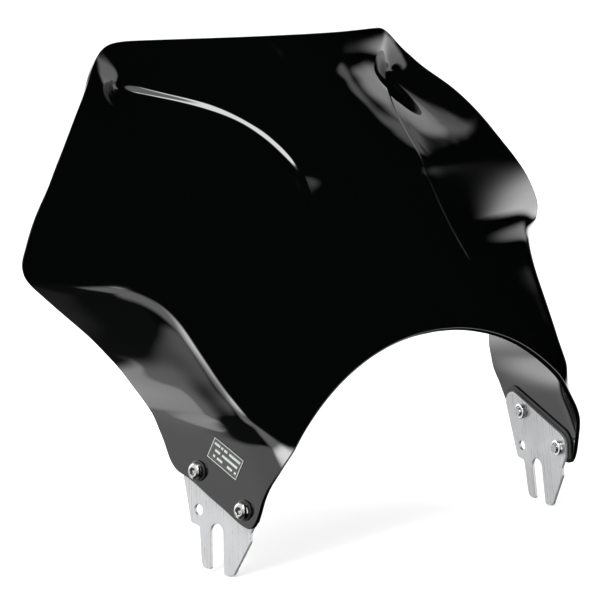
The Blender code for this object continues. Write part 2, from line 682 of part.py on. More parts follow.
# Profiles are (radius, height) rows; a third value makes the ring a regular
# polygon of that many sides, with radius as its half width across flats.
WASHER = [(WASHER_R, WASHER_LOW), (WASHER_R, WASHER_TOP - WASHER_CHAMFER),
          (WASHER_R - WASHER_CHAMFER, WASHER_TOP), (WASHER_BORE_R, WASHER_TOP),
          (WASHER_BORE_R, SHOULDER_LOW), (SHOULDER_R, SHOULDER_LOW),
          (SHOULDER_R, WASHER_LOW)]
SCREW = [(0, SCREW_TIP), (SCREW_R - TIP_CHAMFER, SCREW_TIP),
         (SCREW_R, SCREW_TIP + TIP_CHAMFER), (SCREW_R, HEAD_LOW),
         (HEAD_R - 0.15, HEAD_LOW), (HEAD_R, HEAD_LOW + 0.2), (HEAD_R, HEAD_LOW + 0.65),
         *[(HEAD_R * part, HEAD_LOW + rise) for part, rise in HEAD_DOME],
         (SOCKET_HALF, SOCKET_TOP - 0.1, 6), (SOCKET_HALF, SOCKET_TOP - 2.0, 6),
         (0, SOCKET_TOP - 2.5)]
NUT = [(NUT_BARREL_R, NUT_TOP), (NUT_BARREL_R, NUT_FACE), (NUT_FLANGE_R, NUT_FACE),
       (NUT_FLANGE_R, NUT_FACE - 2.2), (4.35, NUT_LOW), (3.3, NUT_LOW),
       (NUT_BORE_R, NUT_FACE - 2.4), (NUT_BORE_R, 0.6), (NUT_MOUTH_R, NUT_TOP)]

# name, profile, material, height of the object's origin
HARDWARE = [("shoulder_washer", WASHER, NYLON, WASHER_LOW),
            ("button_screw", SCREW, STAINLESS, HEAD_LOW),
            ("press_nut", NUT, ZINC, NUT_TOP)]


def turned(name, side, at, profile, mat, origin_height):
    """Ring of revolution about a screw axis; radius 0 at an end closes it with a point."""
    points, rings = [], []
    for radius, height, *polygon in profile:
        first = len(points)
        if radius == 0:
            points.append(to_world(on_plate(side, *at, height)))
        else:
            for i in range(TURNED_SIDES):
                t = 2 * math.pi * i / TURNED_SIDES
                reach = radius
                if polygon:
                    wedge = 2 * math.pi / polygon[0]
                    reach = radius / math.cos((t + wedge / 2) % wedge - wedge / 2)
                points.append(to_world(on_plate(side, at[0] + reach * math.cos(t),
                                                at[1] + reach * math.sin(t), height)))
        rings.append(range(first, len(points)))
    pairs = list(zip(rings[:-1], rings[1:]))
    if len(rings[0]) > 1 and len(rings[-1]) > 1:
        pairs.append((rings[-1], rings[0]))
    faces = []
    for a, b in pairs:
        for i in range(TURNED_SIDES):
            j = (i + 1) % TURNED_SIDES
            if len(a) == 1:
                faces.append((a[0], b[j], b[i]))
            elif len(b) == 1:
                faces.append((a[i], a[j], b[0]))
            else:
                faces.append((a[i], a[j], b[j], b[i]))
    origin = to_world(on_plate(side, *at, origin_height))
    obj = solid(name, points, faces, mat, origin)
    obj.data.shade_smooth()
    obj.data.set_sharp_from_angle(angle=SHARP_ANGLE)


for side, tag in SIDES:
    for at, place in ((HOLE_REAR, "rear"), (HOLE_FRONT, "front")):
        for kind, profile, mat, origin_height in HARDWARE:
            turned(f"{kind}_{tag}_{place}", side, at, profile, mat, origin_height)

# ------------------------------------------------------------------------- label
LABEL_AT, LABEL_L, LABEL_W = (-25.8, 31.4), 25.5, 13.6
LABEL_T, LABEL_GAP = 0.2, 0.3
LABEL_COLUMNS, LABEL_ROWS = 6, 4
# parallel to the line through the two shell screws
LABEL_TILT = math.atan2(HOLE_REAR[1] - HOLE_FRONT[1], HOLE_REAR[0] - HOLE_FRONT[0])


def label():
    """Thin film that follows the outer skin of the left arm."""
    cos, sin = math.cos(LABEL_TILT), math.sin(LABEL_TILT)
    low, high = [], []
    for j in range(LABEL_ROWS + 1):
        for i in range(LABEL_COLUMNS + 1):
            along = (i / LABEL_COLUMNS - 0.5) * LABEL_L
            across = (j / LABEL_ROWS - 0.5) * LABEL_W
            flat = on_plate(1, LABEL_AT[0] + cos * along - sin * across,
                            LABEL_AT[1] + sin * along + cos * across, SKIN_H)
            girth = girth_at(flat.x + flat.y, flat.z)
            foot, normal = skin(girth, flat.z), skin_normal(girth, flat.z)
            for layer, height in ((low, LABEL_GAP), (high, LABEL_GAP + LABEL_T)):
                x, y, z = foot + normal * height
                layer.append(to_world((-x, y, z)))

    def index(i, j):
        return j * (LABEL_COLUMNS + 1) + i

    top, faces = len(low), []
    for j in range(LABEL_ROWS):
        for i in range(LABEL_COLUMNS):
            a, b, c, d = index(i, j), index(i + 1, j), index(i + 1, j + 1), index(i, j + 1)
            faces += [(a, b, c), (a, c, d),
                      (top + a, top + c, top + b), (top + a, top + d, top + c)]
    ring = ([index(i, 0) for i in range(LABEL_COLUMNS)]
            + [index(LABEL_COLUMNS, j) for j in range(LABEL_ROWS)]
            + [index(i, LABEL_ROWS) for i in range(LABEL_COLUMNS, 0, -1)]
            + [index(0, j) for j in range(LABEL_ROWS, 0, -1)])
    for a, b in zip(ring, ring[1:] + ring[:1]):
        faces.append((a, top + a, top + b, b))
    solid("info_label", low + high, faces, LABEL_FILM)


label()
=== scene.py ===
"""Motorcycle windscreen: a black acrylic shell on two slotted bracket plates.

Lengths are in mm in a design frame: x = 0 is the centre plane, -y is the front,
+y faces the rider and +z is up.  Left and right are as seen from the front, so
right is +x.  DATUM moves the design frame into the world, which is in metres.
"""

import math

import bmesh
import bpy
import numpy as np
from mathutils import Matrix, Vector
from mathutils.geometry import delaunay_2d_cdt


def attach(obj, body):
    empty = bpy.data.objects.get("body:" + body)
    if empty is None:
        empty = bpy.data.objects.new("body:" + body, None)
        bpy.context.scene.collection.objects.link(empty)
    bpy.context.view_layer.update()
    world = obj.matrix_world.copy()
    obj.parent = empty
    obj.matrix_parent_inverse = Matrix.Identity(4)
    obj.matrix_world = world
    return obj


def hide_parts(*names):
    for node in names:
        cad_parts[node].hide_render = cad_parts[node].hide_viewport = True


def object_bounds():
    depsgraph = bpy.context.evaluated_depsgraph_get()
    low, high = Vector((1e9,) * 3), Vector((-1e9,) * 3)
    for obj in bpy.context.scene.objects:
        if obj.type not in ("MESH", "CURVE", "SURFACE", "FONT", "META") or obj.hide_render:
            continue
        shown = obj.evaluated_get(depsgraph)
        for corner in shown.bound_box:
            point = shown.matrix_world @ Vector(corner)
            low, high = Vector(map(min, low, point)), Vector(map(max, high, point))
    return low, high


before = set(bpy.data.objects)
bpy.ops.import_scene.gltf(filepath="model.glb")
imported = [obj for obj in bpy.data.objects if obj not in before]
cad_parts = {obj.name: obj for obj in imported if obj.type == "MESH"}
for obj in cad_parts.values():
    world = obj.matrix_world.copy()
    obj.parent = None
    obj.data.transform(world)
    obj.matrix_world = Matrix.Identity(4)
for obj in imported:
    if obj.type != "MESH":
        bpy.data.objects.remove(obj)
CAD_BOX = [list(map(float, corner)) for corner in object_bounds()]

# ---- dimensions
MM = 0.001
DATUM = (0.0, -10.08, 36.12)     # origin of the design frame in the world, mm

HALF_SPAN = 130.0                # spare hole to centre plane
PLATE_YAW = math.radians(8.8)    # plates open out towards the rear
PLATE_LEAN = math.radians(3.55)  # and close up towards the top
PLATE_T = 2.0
PAD_T = 1.0
SHELL_T = 3.0
GAP = 0.15                       # left between stacked pieces
SKIN_H = PLATE_T / 2 + GAP + PAD_T + GAP + SHELL_T   # arm's outer face above plate's mid plane
ARM_X_PER_H = 1.014              # x travelled per mm of height above the plate

HOLE_REAR = (-4.4, 23.0)         # shell screws, in plate coordinates (y, z)
HOLE_FRONT = (-39.3, 3.0)
SPARE_HOLE = (0.0, 0.0)
SPARE_R = 3.2
SLOT_Y, SLOT_TOP, SLOT_R = -14.0, -12.0, 5.05   # SLOT_TOP: where the round end begins
SHELL_HOLE_R = 4.1
PAD_HOLE_R = 3.5
NUT_HOLE_R = 4.15


def spline(knots):
    """Natural cubic spline through (position, value, value, ...) rows."""
    rows = np.array(sorted(knots), float)
    knot, value = rows[:, 0], rows[:, 1:]
    count, gap = len(knot), np.diff(knot)
    system, target = np.zeros((count, count)), np.zeros((count, value.shape[1]))
    system[0, 0] = system[-1, -1] = 1.0
    for i in range(1, count - 1):
        system[i, i - 1:i + 2] = gap[i - 1], 2 * (gap[i - 1] + gap[i]), gap[i]
        target[i] = 6 * ((value[i + 1] - value[i]) / gap[i]
                         - (value[i] - value[i - 1]) / gap[i - 1])
    bend = np.linalg.solve(system, target)

    def at(position):
        position = np.clip(np.asarray(position, float), knot[0], knot[-1])
        i = np.clip(np.searchsorted(knot, position, side="right") - 1, 0, count - 2)
        past, width = (position - knot[i])[..., None], gap[i][..., None]
        left = width - past
        return ((bend[i] * left**3 + bend[i + 1] * past**3) / (6 * width)
                + (value[i] / width - bend[i] * width / 6) * left
                + (value[i + 1] / width - bend[i + 1] * width / 6) * past)
    return at


# ---- guide lines of the shell
# Every horizontal section of the outer skin is a line from the centre plane
# over the crown, down into the valley beside it, along the wing and round the
# fold into the side arm.  Each guide line gives one corner of that section as
# a function of height.

# height: y of the crown on the centre plane
CENTRE = spline([(-45, -152), (0, -122), (42, -95.5), (66, -81.5), (91, -67.8),
                 (115, -55.0), (140, -41.3), (165, -27.5), (189, -14.0),
                 (214, 1.5), (226, 9.5), (240, 20.5), (256, 29.5), (271, 37)])
# height: x, y of the valley, and how softly the section turns there
VALLEY = spline([(-45, 118, -122, 40), (0, 100, -107, 40), (42, 84, -86, 40),
                 (66, 76, -72.5, 40), (91, 67, -60, 40), (115, 58, -48, 40),
                 (140, 52, -35, 40), (165, 50, -20.9, 40), (178, 50, -14, 36),
                 (189, 50.5, -7.8, 30), (198.5, 52.4, 2.0, 28),
                 (209, 56.6, 13.0, 30), (225, 66, 30, 34), (245, 80, 52, 40),
                 (271, 96, 76, 44)])
# height: x, y of the section's outer end
EDGE = spline([(-45, 139.5, 10), (0, 136.9, 10), (30, 136.3, 18), (50, 136.6, 28),
               (64.6, 141, 35), (73, 145.5, 38), (81.2, 150, 41),
               (91.6, 158, 43.5), (101.3, 166.2, 45.8), (109.5, 174.4, 47.5),
               (117.7, 183, 49), (126, 191.7, 50), (134.5, 200.8, 50.5),
               (140, 204.2, 50.5), (146.2, 205.4, 50.3), (154.4, 203.2, 50),
               (165.2, 198.2, 50.5), (181.3, 187.5, 52.5), (197.4, 175.3, 56),
               (213.7, 162.6, 60.5), (230, 148, 68), (241.5, 136.5, 75),
               (247, 137.5, 76.5), (252, 140, 76.5), (259, 143, 80),
               (271, 147, 88)])
# height: x, y of the fold between front and arm, and its rounding
FOLD = spline([(-45, 121.5, -66, 8), (0, 125.8, -60, 12), (14, 125.5, -57.5, 16),
               (27, 125.4, -54.5, 20), (42, 129.5, -48.5, 24),
               (55, 135, -41.3, 26), (66, 139, -33.5, 28), (77, 142.3, -26.5, 30),
               (88, 144, -20.5, 30), (100, 144.6, -14.3, 28), (110, 145, -9.3, 28),
               (118, 146.3, -4.5, 28), (126, 150, 2.5, 28), (131, 154.5, 8.5, 28),
               (136, 163, 17, 28), (142, 172, 26, 26), (150, 180, 33, 24),
               (165, 180, 39, 24), (271, 180, 80, 24)])
# Above the shoulders the crown and the wings are two surfaces, each giving y over
# (x, height), that meet in the valley.
# height: slope the crown's flank tends to on either side of its rounded nose
CROWN_SLOPE = spline([(150, .25), (165, .25), (178, .25), (189, .265),
                      (198.5, .385), (209, .52), (217, .635), (224.5, .71),
                      (230, .76), (234.4, .785), (238.3, .795), (242, .79),
                      (248, .75), (256, .68), (262, .64), (268, .617), (271, .61)])
NOSE = 35.0                      # half width of the rounded nose
# height: depth over which the two surfaces melt into each other
FILLET = spline([(180, 0.8), (198, 1.2), (209, 1.6), (217, 2.0), (224.5, 2.6),
                 (230, 3.2), (234.4, 4.0), (238.3, 5.6), (242, 9.0), (248, 15.0),
                 (256, 18.0), (262, 15.0), (271, 10.0)])
# x, y, height: points the wing passes through, along the valley and the edge
WING_POINTS = [(52.4, 2.3, 198.5), (56.6, 14.5, 209), (62, 26.0, 217.2),
               (70, 38.8, 224.5), (79, 51.1, 230), (88.5, 63.0, 234.4),
               (98, 74.8, 238.3), (106, 84.0, 242),
               (175.3, 56, 197.4), (162.6, 60.5, 213.7), (148, 68, 230),
               (135.9, 75.8, 241.5), (129.1, 80.3, 249), (124.1, 83.6, 255),
               (119.2, 86.5, 260.5), (114.4, 88.4, 265), (109.6, 91, 268),
               (112, 82.6, 249), (108, 86.2, 256), (102, 90.0, 262)]
WING_TIES = (150.0, 160.0, 170.0, 180.0, 190.0)   # heights tied to the sections
# height: x of the crease between the crown and the wing
CREASE = spline([(-45, 118), (0, 100), (42, 84), (66, 76), (91, 67), (115, 58),
                 (140, 52), (165, 50), (178, 50), (189, 50.5), (198.5, 52.4),
                 (209, 56.6), (217.2, 62), (224.5, 70), (230, 79), (234.4, 88.5),
                 (238.3, 98), (242, 106), (248, 116), (256, 126), (271, 140)])
# height: depth and width (in x) of the steep strip between crown and valley
STRIP = spline([(-45, 0, 3), (60, 0, 3), (100, 0, 3), (112, .05, 3), (130, 1.0, 3),
                (150, 1.3, 3), (178, 1.35, 3), (189, 1.9, 3.2), (198.5, 2.5, 3.6),
                (209, 2.6, 4.2), (217, 2.6, 4.8), (224.5, 2.6, 5.6), (230, 2.7, 6.5),
                (236, 2.7, 7.2), (240, 2.5, 8), (244, 1.6, 8), (248, .6, 8),
                (252, .1, 8), (256, 0, 8), (271, 0, 8)])
STRIP_SHARP = 4                  # how tightly the strip's two bends turn
UPPER = (186.0, 206.0)           # the height fields take over in this band
FIELD_FLOOR = 150.0              # lowest height the fields are read at
ARM_FLAT = (34.0, 56.0)          # the arm is a true plane below, free above
FOLD_FADE = (128.0, 148.0)       # the fold fades out into the straight wing

# Away from the crease the surface that isn't wanted is lifted out of reach.
CREASE_REACH = 8                 # distance from the crease where lifting starts
CROWN_LIFT, WING_LIFT = 6, 9
LIFT_FADE = (214.0, 230.0)       # these lifts fade out in this band
CENTRE_REACH, CENTRE_LIFT = 40, 24   # the wing is lifted near the centre plane

ARCH_R, ARCH_TOP, ARCH_Y = 142.0, 91.0, -67.0   # headlight cut-out
ARCH_HEIGHTS = (90.2, 88, 84.5, 79.5, 73, 65, 56.5, 49)

# Cut outline from the arch round the arm and the wing to the top edge, as
# (x + y, height): along any section x + y only grows, so it marks one point.
OUTLINE = [(40.5, 42), (46.5, 35.3), (53, 29.3), (59.5, 23.2), (65.5, 17.8),
           (70.2, 12.5), (73.8, 7), (77.8, -0.6), (81.1, -4.9), (86.4, -7.5),
           (93.5, -5.4), (105, 1), (120, 9), (133, 16.4), (141.1, 20),
           (147.2, 22.4), (151.4, 26), (154.6, 31), (158.4, 39.3),
           (164.7, 50.5), (176, 64.6), (183.5, 73), (191, 81.2), (201.5, 91.6),
           (212, 101.3), (221.9, 109.5), (232, 117.7), (241.7, 126),
           (251.0, 134.5), (254.7, 140), (255.7, 146.2), (253.2, 154.4),
           (248.7, 165.2), (240, 181.3), (231.3, 197.4), (223.1, 213.7),
           (216, 230), (211.5, 241.5), (209.2, 249), (207.3, 255),
           (204.6, 260.5), (200.6, 265), (195, 268), (186, 269.4),
           (172, 269.6), (150, 269.2), (120, 268.6), (80, 267.9)]
TOP_CENTRE_Z = 267.5
GIRTH_MAX = 330.0                # beyond the outline on every section
GIRTHS = np.linspace(0.0, GIRTH_MAX, 1321)


# ---- the outer skin
def arm_x(y, z):
    """X of the flat outer face of the side arm, parallel to the plate."""
    return (HALF_SPAN + SKIN_H * ARM_X_PER_H + math.tan(PLATE_YAW) * y
            - math.tan(PLATE_LEAN) * z)


def smoothstep(z, low, high):
    part = np.clip((z - low) / (high - low), 0.0, 1.0)
    return part * part * (3 - 2 * part)


def ramp(t):
    """max(t, 0) with its corner rounded between -1 and 1."""
    s = np.clip(t, -1.0, 1.0)
    soft = 5 / 32 + s / 2 + 15 * s**2 / 32 - 5 * s**4 / 32 + s**6 / 32
    return np.where(t > 1, t, np.where(t < -1, 0.0, soft))


def corners(z):
    """Corner points and rounding lengths of the sections at heights z."""
    crown_y = CENTRE(z)[..., 0]
    valley_x, valley_y, valley_soft = np.moveaxis(VALLEY(z), -1, 0)
    fold_x, fold_y, fold_soft = np.moveaxis(FOLD(z), -1, 0)
    edge_x, edge_y = np.moveaxis(EDGE(z), -1, 0)
    free = smoothstep(z, *ARM_FLAT)
    fold_x = fold_x * free + arm_x(fold_y, z) * (1 - free)
    edge_x = edge_x * free + arm_x(edge_y, z) * (1 - free)
    # crown: an arc tangent at the centre plane, then its tangent to the valley
    sag = valley_y - crown_y
    radius = (valley_x**2 + sag**2) / (2 * sag)
    below = valley_y - (crown_y + radius)
    reach = np.sqrt(np.maximum(valley_x**2 + below**2 - radius**2, 0))
    turn = np.arctan2(valley_x, -below) - np.arctan2(reach, radius)
    leg = radius * np.tan(turn / 4)
    valley = np.stack([valley_x, valley_y], -1)
    points = [np.stack([0 * z, crown_y], -1), np.stack([leg, crown_y], -1),
              np.stack([leg + 2 * leg * np.cos(turn / 2),
                        crown_y + 2 * leg * np.sin(turn / 2)], -1),
              valley]
    soft = [None, leg * 1.5, leg * 1.5, valley_soft]
    # fold, which slides onto the straight wing where it fades out
    fold, edge = np.stack([fold_x, fold_y], -1), np.stack([edge_x, edge_y], -1)
    run = edge - valley
    length = np.linalg.norm(run, axis=-1, keepdims=True)
    run = run / length
    along = np.sum((fold - valley) * run, -1, keepdims=True)
    straight = valley + run * np.clip(along, 0.3 * length, 0.8 * length)
    fade = smoothstep(z, *FOLD_FADE)[..., None]
    fold = fold * (1 - fade) + straight * fade
    points.append(fold)
    soft.append(fold_soft)
    # the last leg runs on well past the edge
    out = edge - fold
    points.append(fold + out / np.linalg.norm(out, axis=-1, keepdims=True) * 150)
    return points, soft


def section_skin(girth, z):
    """Point of the sectioned surface at a girth from the centre and height z."""
    girth, z = np.broadcast_arrays(np.asarray(girth, float), np.asarray(z, float))
    points, soft = corners(z)
    headings, lengths = [], []
    for start, end in zip(points[:-1], points[1:]):
        leg = end - start
        length = np.linalg.norm(leg, axis=-1)
        headings.append(leg / length[..., None])
        lengths.append(length)
    out = points[0] + headings[0] * girth[..., None]
    mirror, at = np.array([-1.0, 1.0]), np.zeros_like(girth)
    for k in range(1, len(points) - 1):
        at = at + lengths[k - 1]
        bend = headings[k] - headings[k - 1]
        out = out + bend * (soft[k] * ramp((girth - at) / soft[k]))[..., None]
        out = out + bend * mirror * (soft[k] * ramp((-girth - at) / soft[k]))[..., None]
    return np.concatenate([out, z[..., None]], -1)


def thin_plate(points):
    """Smoothest surface y over (x, height) through x, y, height points."""
    rows = np.array(points, float)
    at, y, count = rows[:, [0, 2]], rows[:, 1], len(points)

    def kernel(first, second):
        square = ((first[:, None] - second[None]) ** 2).sum(-1)
        return np.where(square > 0, square * np.log(np.maximum(square, 1e-12)), 0.0)

    system = np.zeros((count + 3, count + 3))
    system[:count, :count] = kernel(at, at)
    system[:count, count], system[:count, count + 1:] = 1.0, at
    system[count, :count], system[count + 1:, :count] = 1.0, at.T
    weight = np.linalg.solve(system, np.concatenate([y, np.zeros(3)]))

    def field(x, z):
        query = np.stack([np.ravel(x), np.ravel(z)], -1)
        out = kernel(query, at) @ weight[:count] + weight[count] + query @ weight[count + 1:]
        return out.reshape(np.shape(x))
    return field


def wing_field():
    """The wing: tied to the sectioned surface below, to its own points above."""
    points = list(WING_POINTS)
    for z in WING_TIES:
        section = section_skin(GIRTHS, np.full_like(GIRTHS, z))
        for x in np.arange(60.0, float(EDGE(z)[0]) + 6, 18.0):
            points.append((x, float(np.interp(x, section[:, 0], section[:, 1])), z))
    return thin_plate(points)


WING = wing_field()


def skin(girth, z):
    """Outer skin at a girth from the centre plane and height z."""
    x, y, height = np.moveaxis(section_skin(girth, z), -1, 0)
    upper = smoothstep(height, *UPPER)
    field_z = np.maximum(height, FIELD_FLOOR)
    crease = CREASE(field_z)[..., 0]
    inner = (crease - CREASE_REACH - np.abs(x)) / CREASE_REACH
    outer = (np.abs(x) - crease - CREASE_REACH) / CREASE_REACH
    low = 1 - smoothstep(field_z, *LIFT_FADE)
    crown = (CENTRE(field_z)[..., 0]
             + CROWN_SLOPE(field_z)[..., 0] * (np.sqrt(x * x + NOSE**2) - NOSE)
             + CROWN_LIFT * low * ramp(outer))
    # the wings end short of the centre plane, where the crown is on its own
    clear = CENTRE_LIFT * ramp((CENTRE_REACH - np.abs(x)) / CENTRE_REACH)
    wing = WING(np.abs(x), field_z) + WING_LIFT * low * ramp(inner) + clear
    fillet = FILLET(field_z)[..., 0]
    melt = wing - fillet * ramp((wing - crown) / fillet)
    y = y * (1 - upper) + melt * upper
    depth, width = np.moveaxis(STRIP(height), -1, 0)
    across = (CREASE(height)[..., 0] - np.abs(x)) / width
    step = ramp(STRIP_SHARP * across) - ramp(STRIP_SHARP * (across - 1))
    y = y - np.maximum(depth, 0.0) / STRIP_SHARP * step
    return np.stack([x, y, height], -1)


DELTA = 0.05                     # half step of the finite differences


def skin_differences(girth, z):
    """Change of the skin over two DELTA, along the girth and along the height."""
    return (skin(np.asarray(girth) + DELTA, z) - skin(np.asarray(girth) - DELTA, z),
            skin(girth, np.asarray(z) + DELTA) - skin(girth, np.asarray(z) - DELTA))


def skin_normal(girth, z):
    """Unit normal of the outer skin, pointing away from the rider."""
    normal = np.cross(*skin_differences(girth, z))
    return normal / np.linalg.norm(normal, axis=-1, keepdims=True)


def girth_at(mark, z):
    """Girth of the point where x + y equals mark on the section at height z."""
    section = skin(GIRTHS, np.full_like(GIRTHS, z))
    return float(np.interp(mark, np.maximum.accumulate(section[:, 0] + section[:, 1]), GIRTHS))


# ---- plate frame
def side_frame(side):
    """Origin and axes (rearward, upward, outward) of one bracket plate."""
    up = Vector((-math.sin(PLATE_LEAN), 0, math.cos(PLATE_LEAN)))
    rear = Vector((math.sin(PLATE_YAW), math.cos(PLATE_YAW), 0))
    rear = (rear - up * rear.dot(up)).normalized()
    outward = rear.cross(up)
    origin = Vector((HALF_SPAN, 0, 0))
    flip = Vector((side, 1, 1))
    return [Vector(a * b for a, b in zip(v, flip)) for v in (origin, rear, up, outward)]


def to_world(point):
    return Vector((point[0] + DATUM[0], point[1] + DATUM[1], point[2] + DATUM[2])) * MM


def on_plate(side, y, z, height):
    origin, rear, up, outward = side_frame(side)
    return origin + rear * y + up * z + outward * height


def side_matrix(side, y=0.0, z=0.0):
    """World matrix, metres: local x runs rearward times side, y upward, z outward."""
    _, rear, up, outward = side_frame(side)
    matrix = Matrix((rear * side, up, outward)).transposed().to_4x4()
    matrix.translation = to_world(on_plate(side, y, z, 0.0))
    return matrix


# ---- flat regions with holes
def inside(points, loops):
    """Even-odd test of 2D points against closed loops."""
    points = np.asarray(points, float)
    hit = np.zeros(len(points), bool)
    for loop in loops:
        starts = np.asarray(loop, float)
        for (x0, y0), (x1, y1) in zip(starts, np.roll(starts, -1, axis=0)):
            if y0 == y1:
                continue
            hit ^= ((y0 > points[:, 1]) != (y1 > points[:, 1])) & (
                points[:, 0] < (x1 - x0) * (points[:, 1] - y0) / (y1 - y0) + x0)
    return hit


def triangulate(loops, extra=()):
    """Triangles inside the first loop and outside the others."""
    points, edges = [], []
    for loop in loops:
        base, count = len(points), len(loop)
        points += [tuple(p) for p in loop]
        edges += [(base + i, base + (i + 1) % count) for i in range(count)]
    points += [tuple(p) for p in extra]
    verts, _, faces, *_ = delaunay_2d_cdt([Vector(p) for p in points], edges, [], 0, 1e-7)
    verts = np.array([tuple(p) for p in verts])
    faces = np.array([tuple(t) for t in faces])
    faces = faces[inside(verts[faces].mean(axis=1), loops)]
    a, b, c = (verts[faces[:, k]] for k in range(3))
    area = (b[:, 0] - a[:, 0]) * (c[:, 1] - a[:, 1]) - (b[:, 1] - a[:, 1]) * (c[:, 0] - a[:, 0])
    faces[area < 0] = faces[area < 0][:, ::-1]
    return verts, faces[np.abs(area) > 1e-6]


def circle(centre, radius, count):
    return [(centre[0] + radius * math.cos(2 * math.pi * i / count),
             centre[1] + radius * math.sin(2 * math.pi * i / count)) for i in range(count)]


def rounded(corner_list, steps=5):
    """Closed polygon of (y, z, radius) corners, each turned into an arc."""
    out, count = [], len(corner_list)
    for i, (y, z, radius) in enumerate(corner_list):
        if radius <= 0:
            out.append((y, z))
            continue
        corner = Vector((y, z))
        back = (Vector(corner_list[i - 1][:2]) - corner).normalized()
        ahead = (Vector(corner_list[(i + 1) % count][:2]) - corner).normalized()
        half = back.angle(ahead) / 2
        centre = corner + (back + ahead).normalized() * (radius / math.sin(half))
        first = corner + back * (radius / math.tan(half)) - centre
        last = corner + ahead * (radius / math.tan(half)) - centre
        start = math.atan2(first.y, first.x)
        sweep = (math.atan2(last.y, last.x) - start + math.pi) % (2 * math.pi) - math.pi
        angles = [start + sweep * k / steps for k in range(steps + 1)]
        out += [(centre.x + radius * math.cos(angle), centre.y + radius * math.sin(angle))
                for angle in angles]
    return out


# ---- node helper
class Nodes:
    """Builds a node tree; inputs are given as {socket: value or linked output}."""

    def __init__(self, tree):
        self.tree = tree
        tree.nodes.clear()

    def feed(self, node, inputs):
        for key, value in inputs.items():
            if isinstance(value, bpy.types.NodeSocket):
                self.tree.links.new(value, node.inputs[key])
            else:
                node.inputs[key].default_value = value

    def add(self, kind, inputs=None, **attrs):
        node = self.tree.nodes.new(kind)
        for key, value in attrs.items():
            setattr(node, key, value)
        self.feed(node, inputs or {})
        return node

    def coord(self):
        return self.add("ShaderNodeTexCoord").outputs["Object"]

    def noise(self, vector, scale, detail=2.0, roughness=0.5):
        return self.add("ShaderNodeTexNoise", {"Vector": vector, "Scale": scale, "Detail": detail,
                                               "Roughness": roughness}).outputs["Fac"]

    def math(self, operation, first, second=None):
        inputs = {0: first} if second is None else {0: first, 1: second}
        return self.add("ShaderNodeMath", inputs, operation=operation).outputs[0]

    def product(self, terms):
        out = terms[0]
        for term in terms[1:]:
            out = self.math("MULTIPLY", out, term)
        return out

    def remap(self, value, span, to=(0.0, 1.0)):
        """Smooth step of value from one range to another."""
        return self.add("ShaderNodeMapRange", {
            "From Min": span[0], "From Max": span[1], "To Min": to[0], "To Max": to[1],
            "Value": value}, interpolation_type="SMOOTHSTEP").outputs["Result"]

    def mix(self, factor, first, second):
        # sockets 6, 7 and output 2 are the colour ones
        return self.add("ShaderNodeMix", {0: factor, 6: first, 7: second},
                        data_type="RGBA").outputs[2]

    def bump(self, shader, height, strength, distance):
        node = self.add("ShaderNodeBump", {"Strength": strength, "Distance": distance,
                                           "Height": height})
        self.feed(shader, {"Normal": node.outputs["Normal"]})


def new_material(name):
    material = bpy.data.materials.new(name)
    material.use_nodes = True
    nodes = Nodes(material.node_tree)
    out = nodes.add("ShaderNodeOutputMaterial")
    shader = nodes.add("ShaderNodeBsdfPrincipled")
    nodes.feed(out, {"Surface": shader.outputs[0]})
    return material, nodes, shader


# ---- materials
def acrylic():
    material, nodes, shader = new_material("black_acrylic")
    coord = nodes.coord()
    cloud = nodes.noise(coord, scale=14.0)
    wipe = nodes.noise(coord, scale=420.0, detail=3.0)
    nodes.feed(shader, {
        "Base Color": (0.0007, 0.0009, 0.0008, 1), "IOR": 1.49,
        "Roughness": nodes.math("ADD", nodes.remap(cloud, (0.35, 0.7), to=(0.015, 0.04)),
                                nodes.remap(wipe, (0.5, 0.8), to=(0.0, 0.012)))})
    # faint draw waves of the formed sheet
    wave = nodes.noise(coord, scale=22.0, detail=1.0)
    nodes.bump(shader, wave, strength=0.10, distance=0.0004)
    return material


def brushed_aluminium():
    """Grain lines run along local y."""
    material, nodes, shader = new_material("brushed_aluminium")
    coord = nodes.coord()
    grain = nodes.add("ShaderNodeMapping", {"Vector": coord, "Scale": (1.0, 0.02, 1.0)})
    lines = nodes.noise(grain.outputs[0], scale=900.0, detail=4.0, roughness=0.6)
    blot = nodes.noise(coord, scale=60.0, detail=3.0)
    tone = nodes.math("MULTIPLY", nodes.remap(lines, (0.3, 0.7), to=(0.90, 1.04)),
                      nodes.remap(blot, (0.3, 0.7), to=(0.95, 1.03)))
    tint = nodes.add("ShaderNodeVectorMath", {0: (0.36, 0.363, 0.37), "Scale": tone},
                     operation="SCALE")
    nodes.feed(shader, {
        "Base Color": tint.outputs[0], "Metallic": 0.6, "Anisotropic": 0.5,
        "Roughness": nodes.math("ADD", nodes.remap(lines, (0.3, 0.7), to=(0.24, 0.38)),
                                nodes.remap(blot, (0.4, 0.7), to=(0.0, 0.05)))})
    nodes.bump(shader, lines, strength=0.16, distance=0.00003)
    return material


def polished(name, colour, roughness):
    material, nodes, shader = new_material(name)
    fine = nodes.noise(nodes.coord(), scale=700.0, detail=4.0)
    nodes.feed(shader, {
        "Base Color": (*colour, 1), "Metallic": 1.0,
        "Roughness": nodes.remap(fine, (0.35, 0.7), to=(roughness * 0.7, roughness * 1.5))})
    nodes.bump(shader, fine, strength=0.12, distance=0.00003)
    return material


def plastic(name, colour, roughness, scale, bump_depth):
    material, nodes, shader = new_material(name)
    coord = nodes.coord()
    fine = nodes.noise(coord, scale, detail=5.0)
    cloud = nodes.noise(coord, scale / 12)
    dark, light = ((*[c * gain for c in colour], 1) for gain in (0.8, 1.25))
    nodes.feed(shader, {
        "Base Color": nodes.mix(cloud, dark, light),
        "Roughness": nodes.remap(fine, (0.3, 0.7), to=(roughness - 0.08, roughness + 0.1))})
    nodes.bump(shader, fine, strength=0.5, distance=bump_depth)
    return material


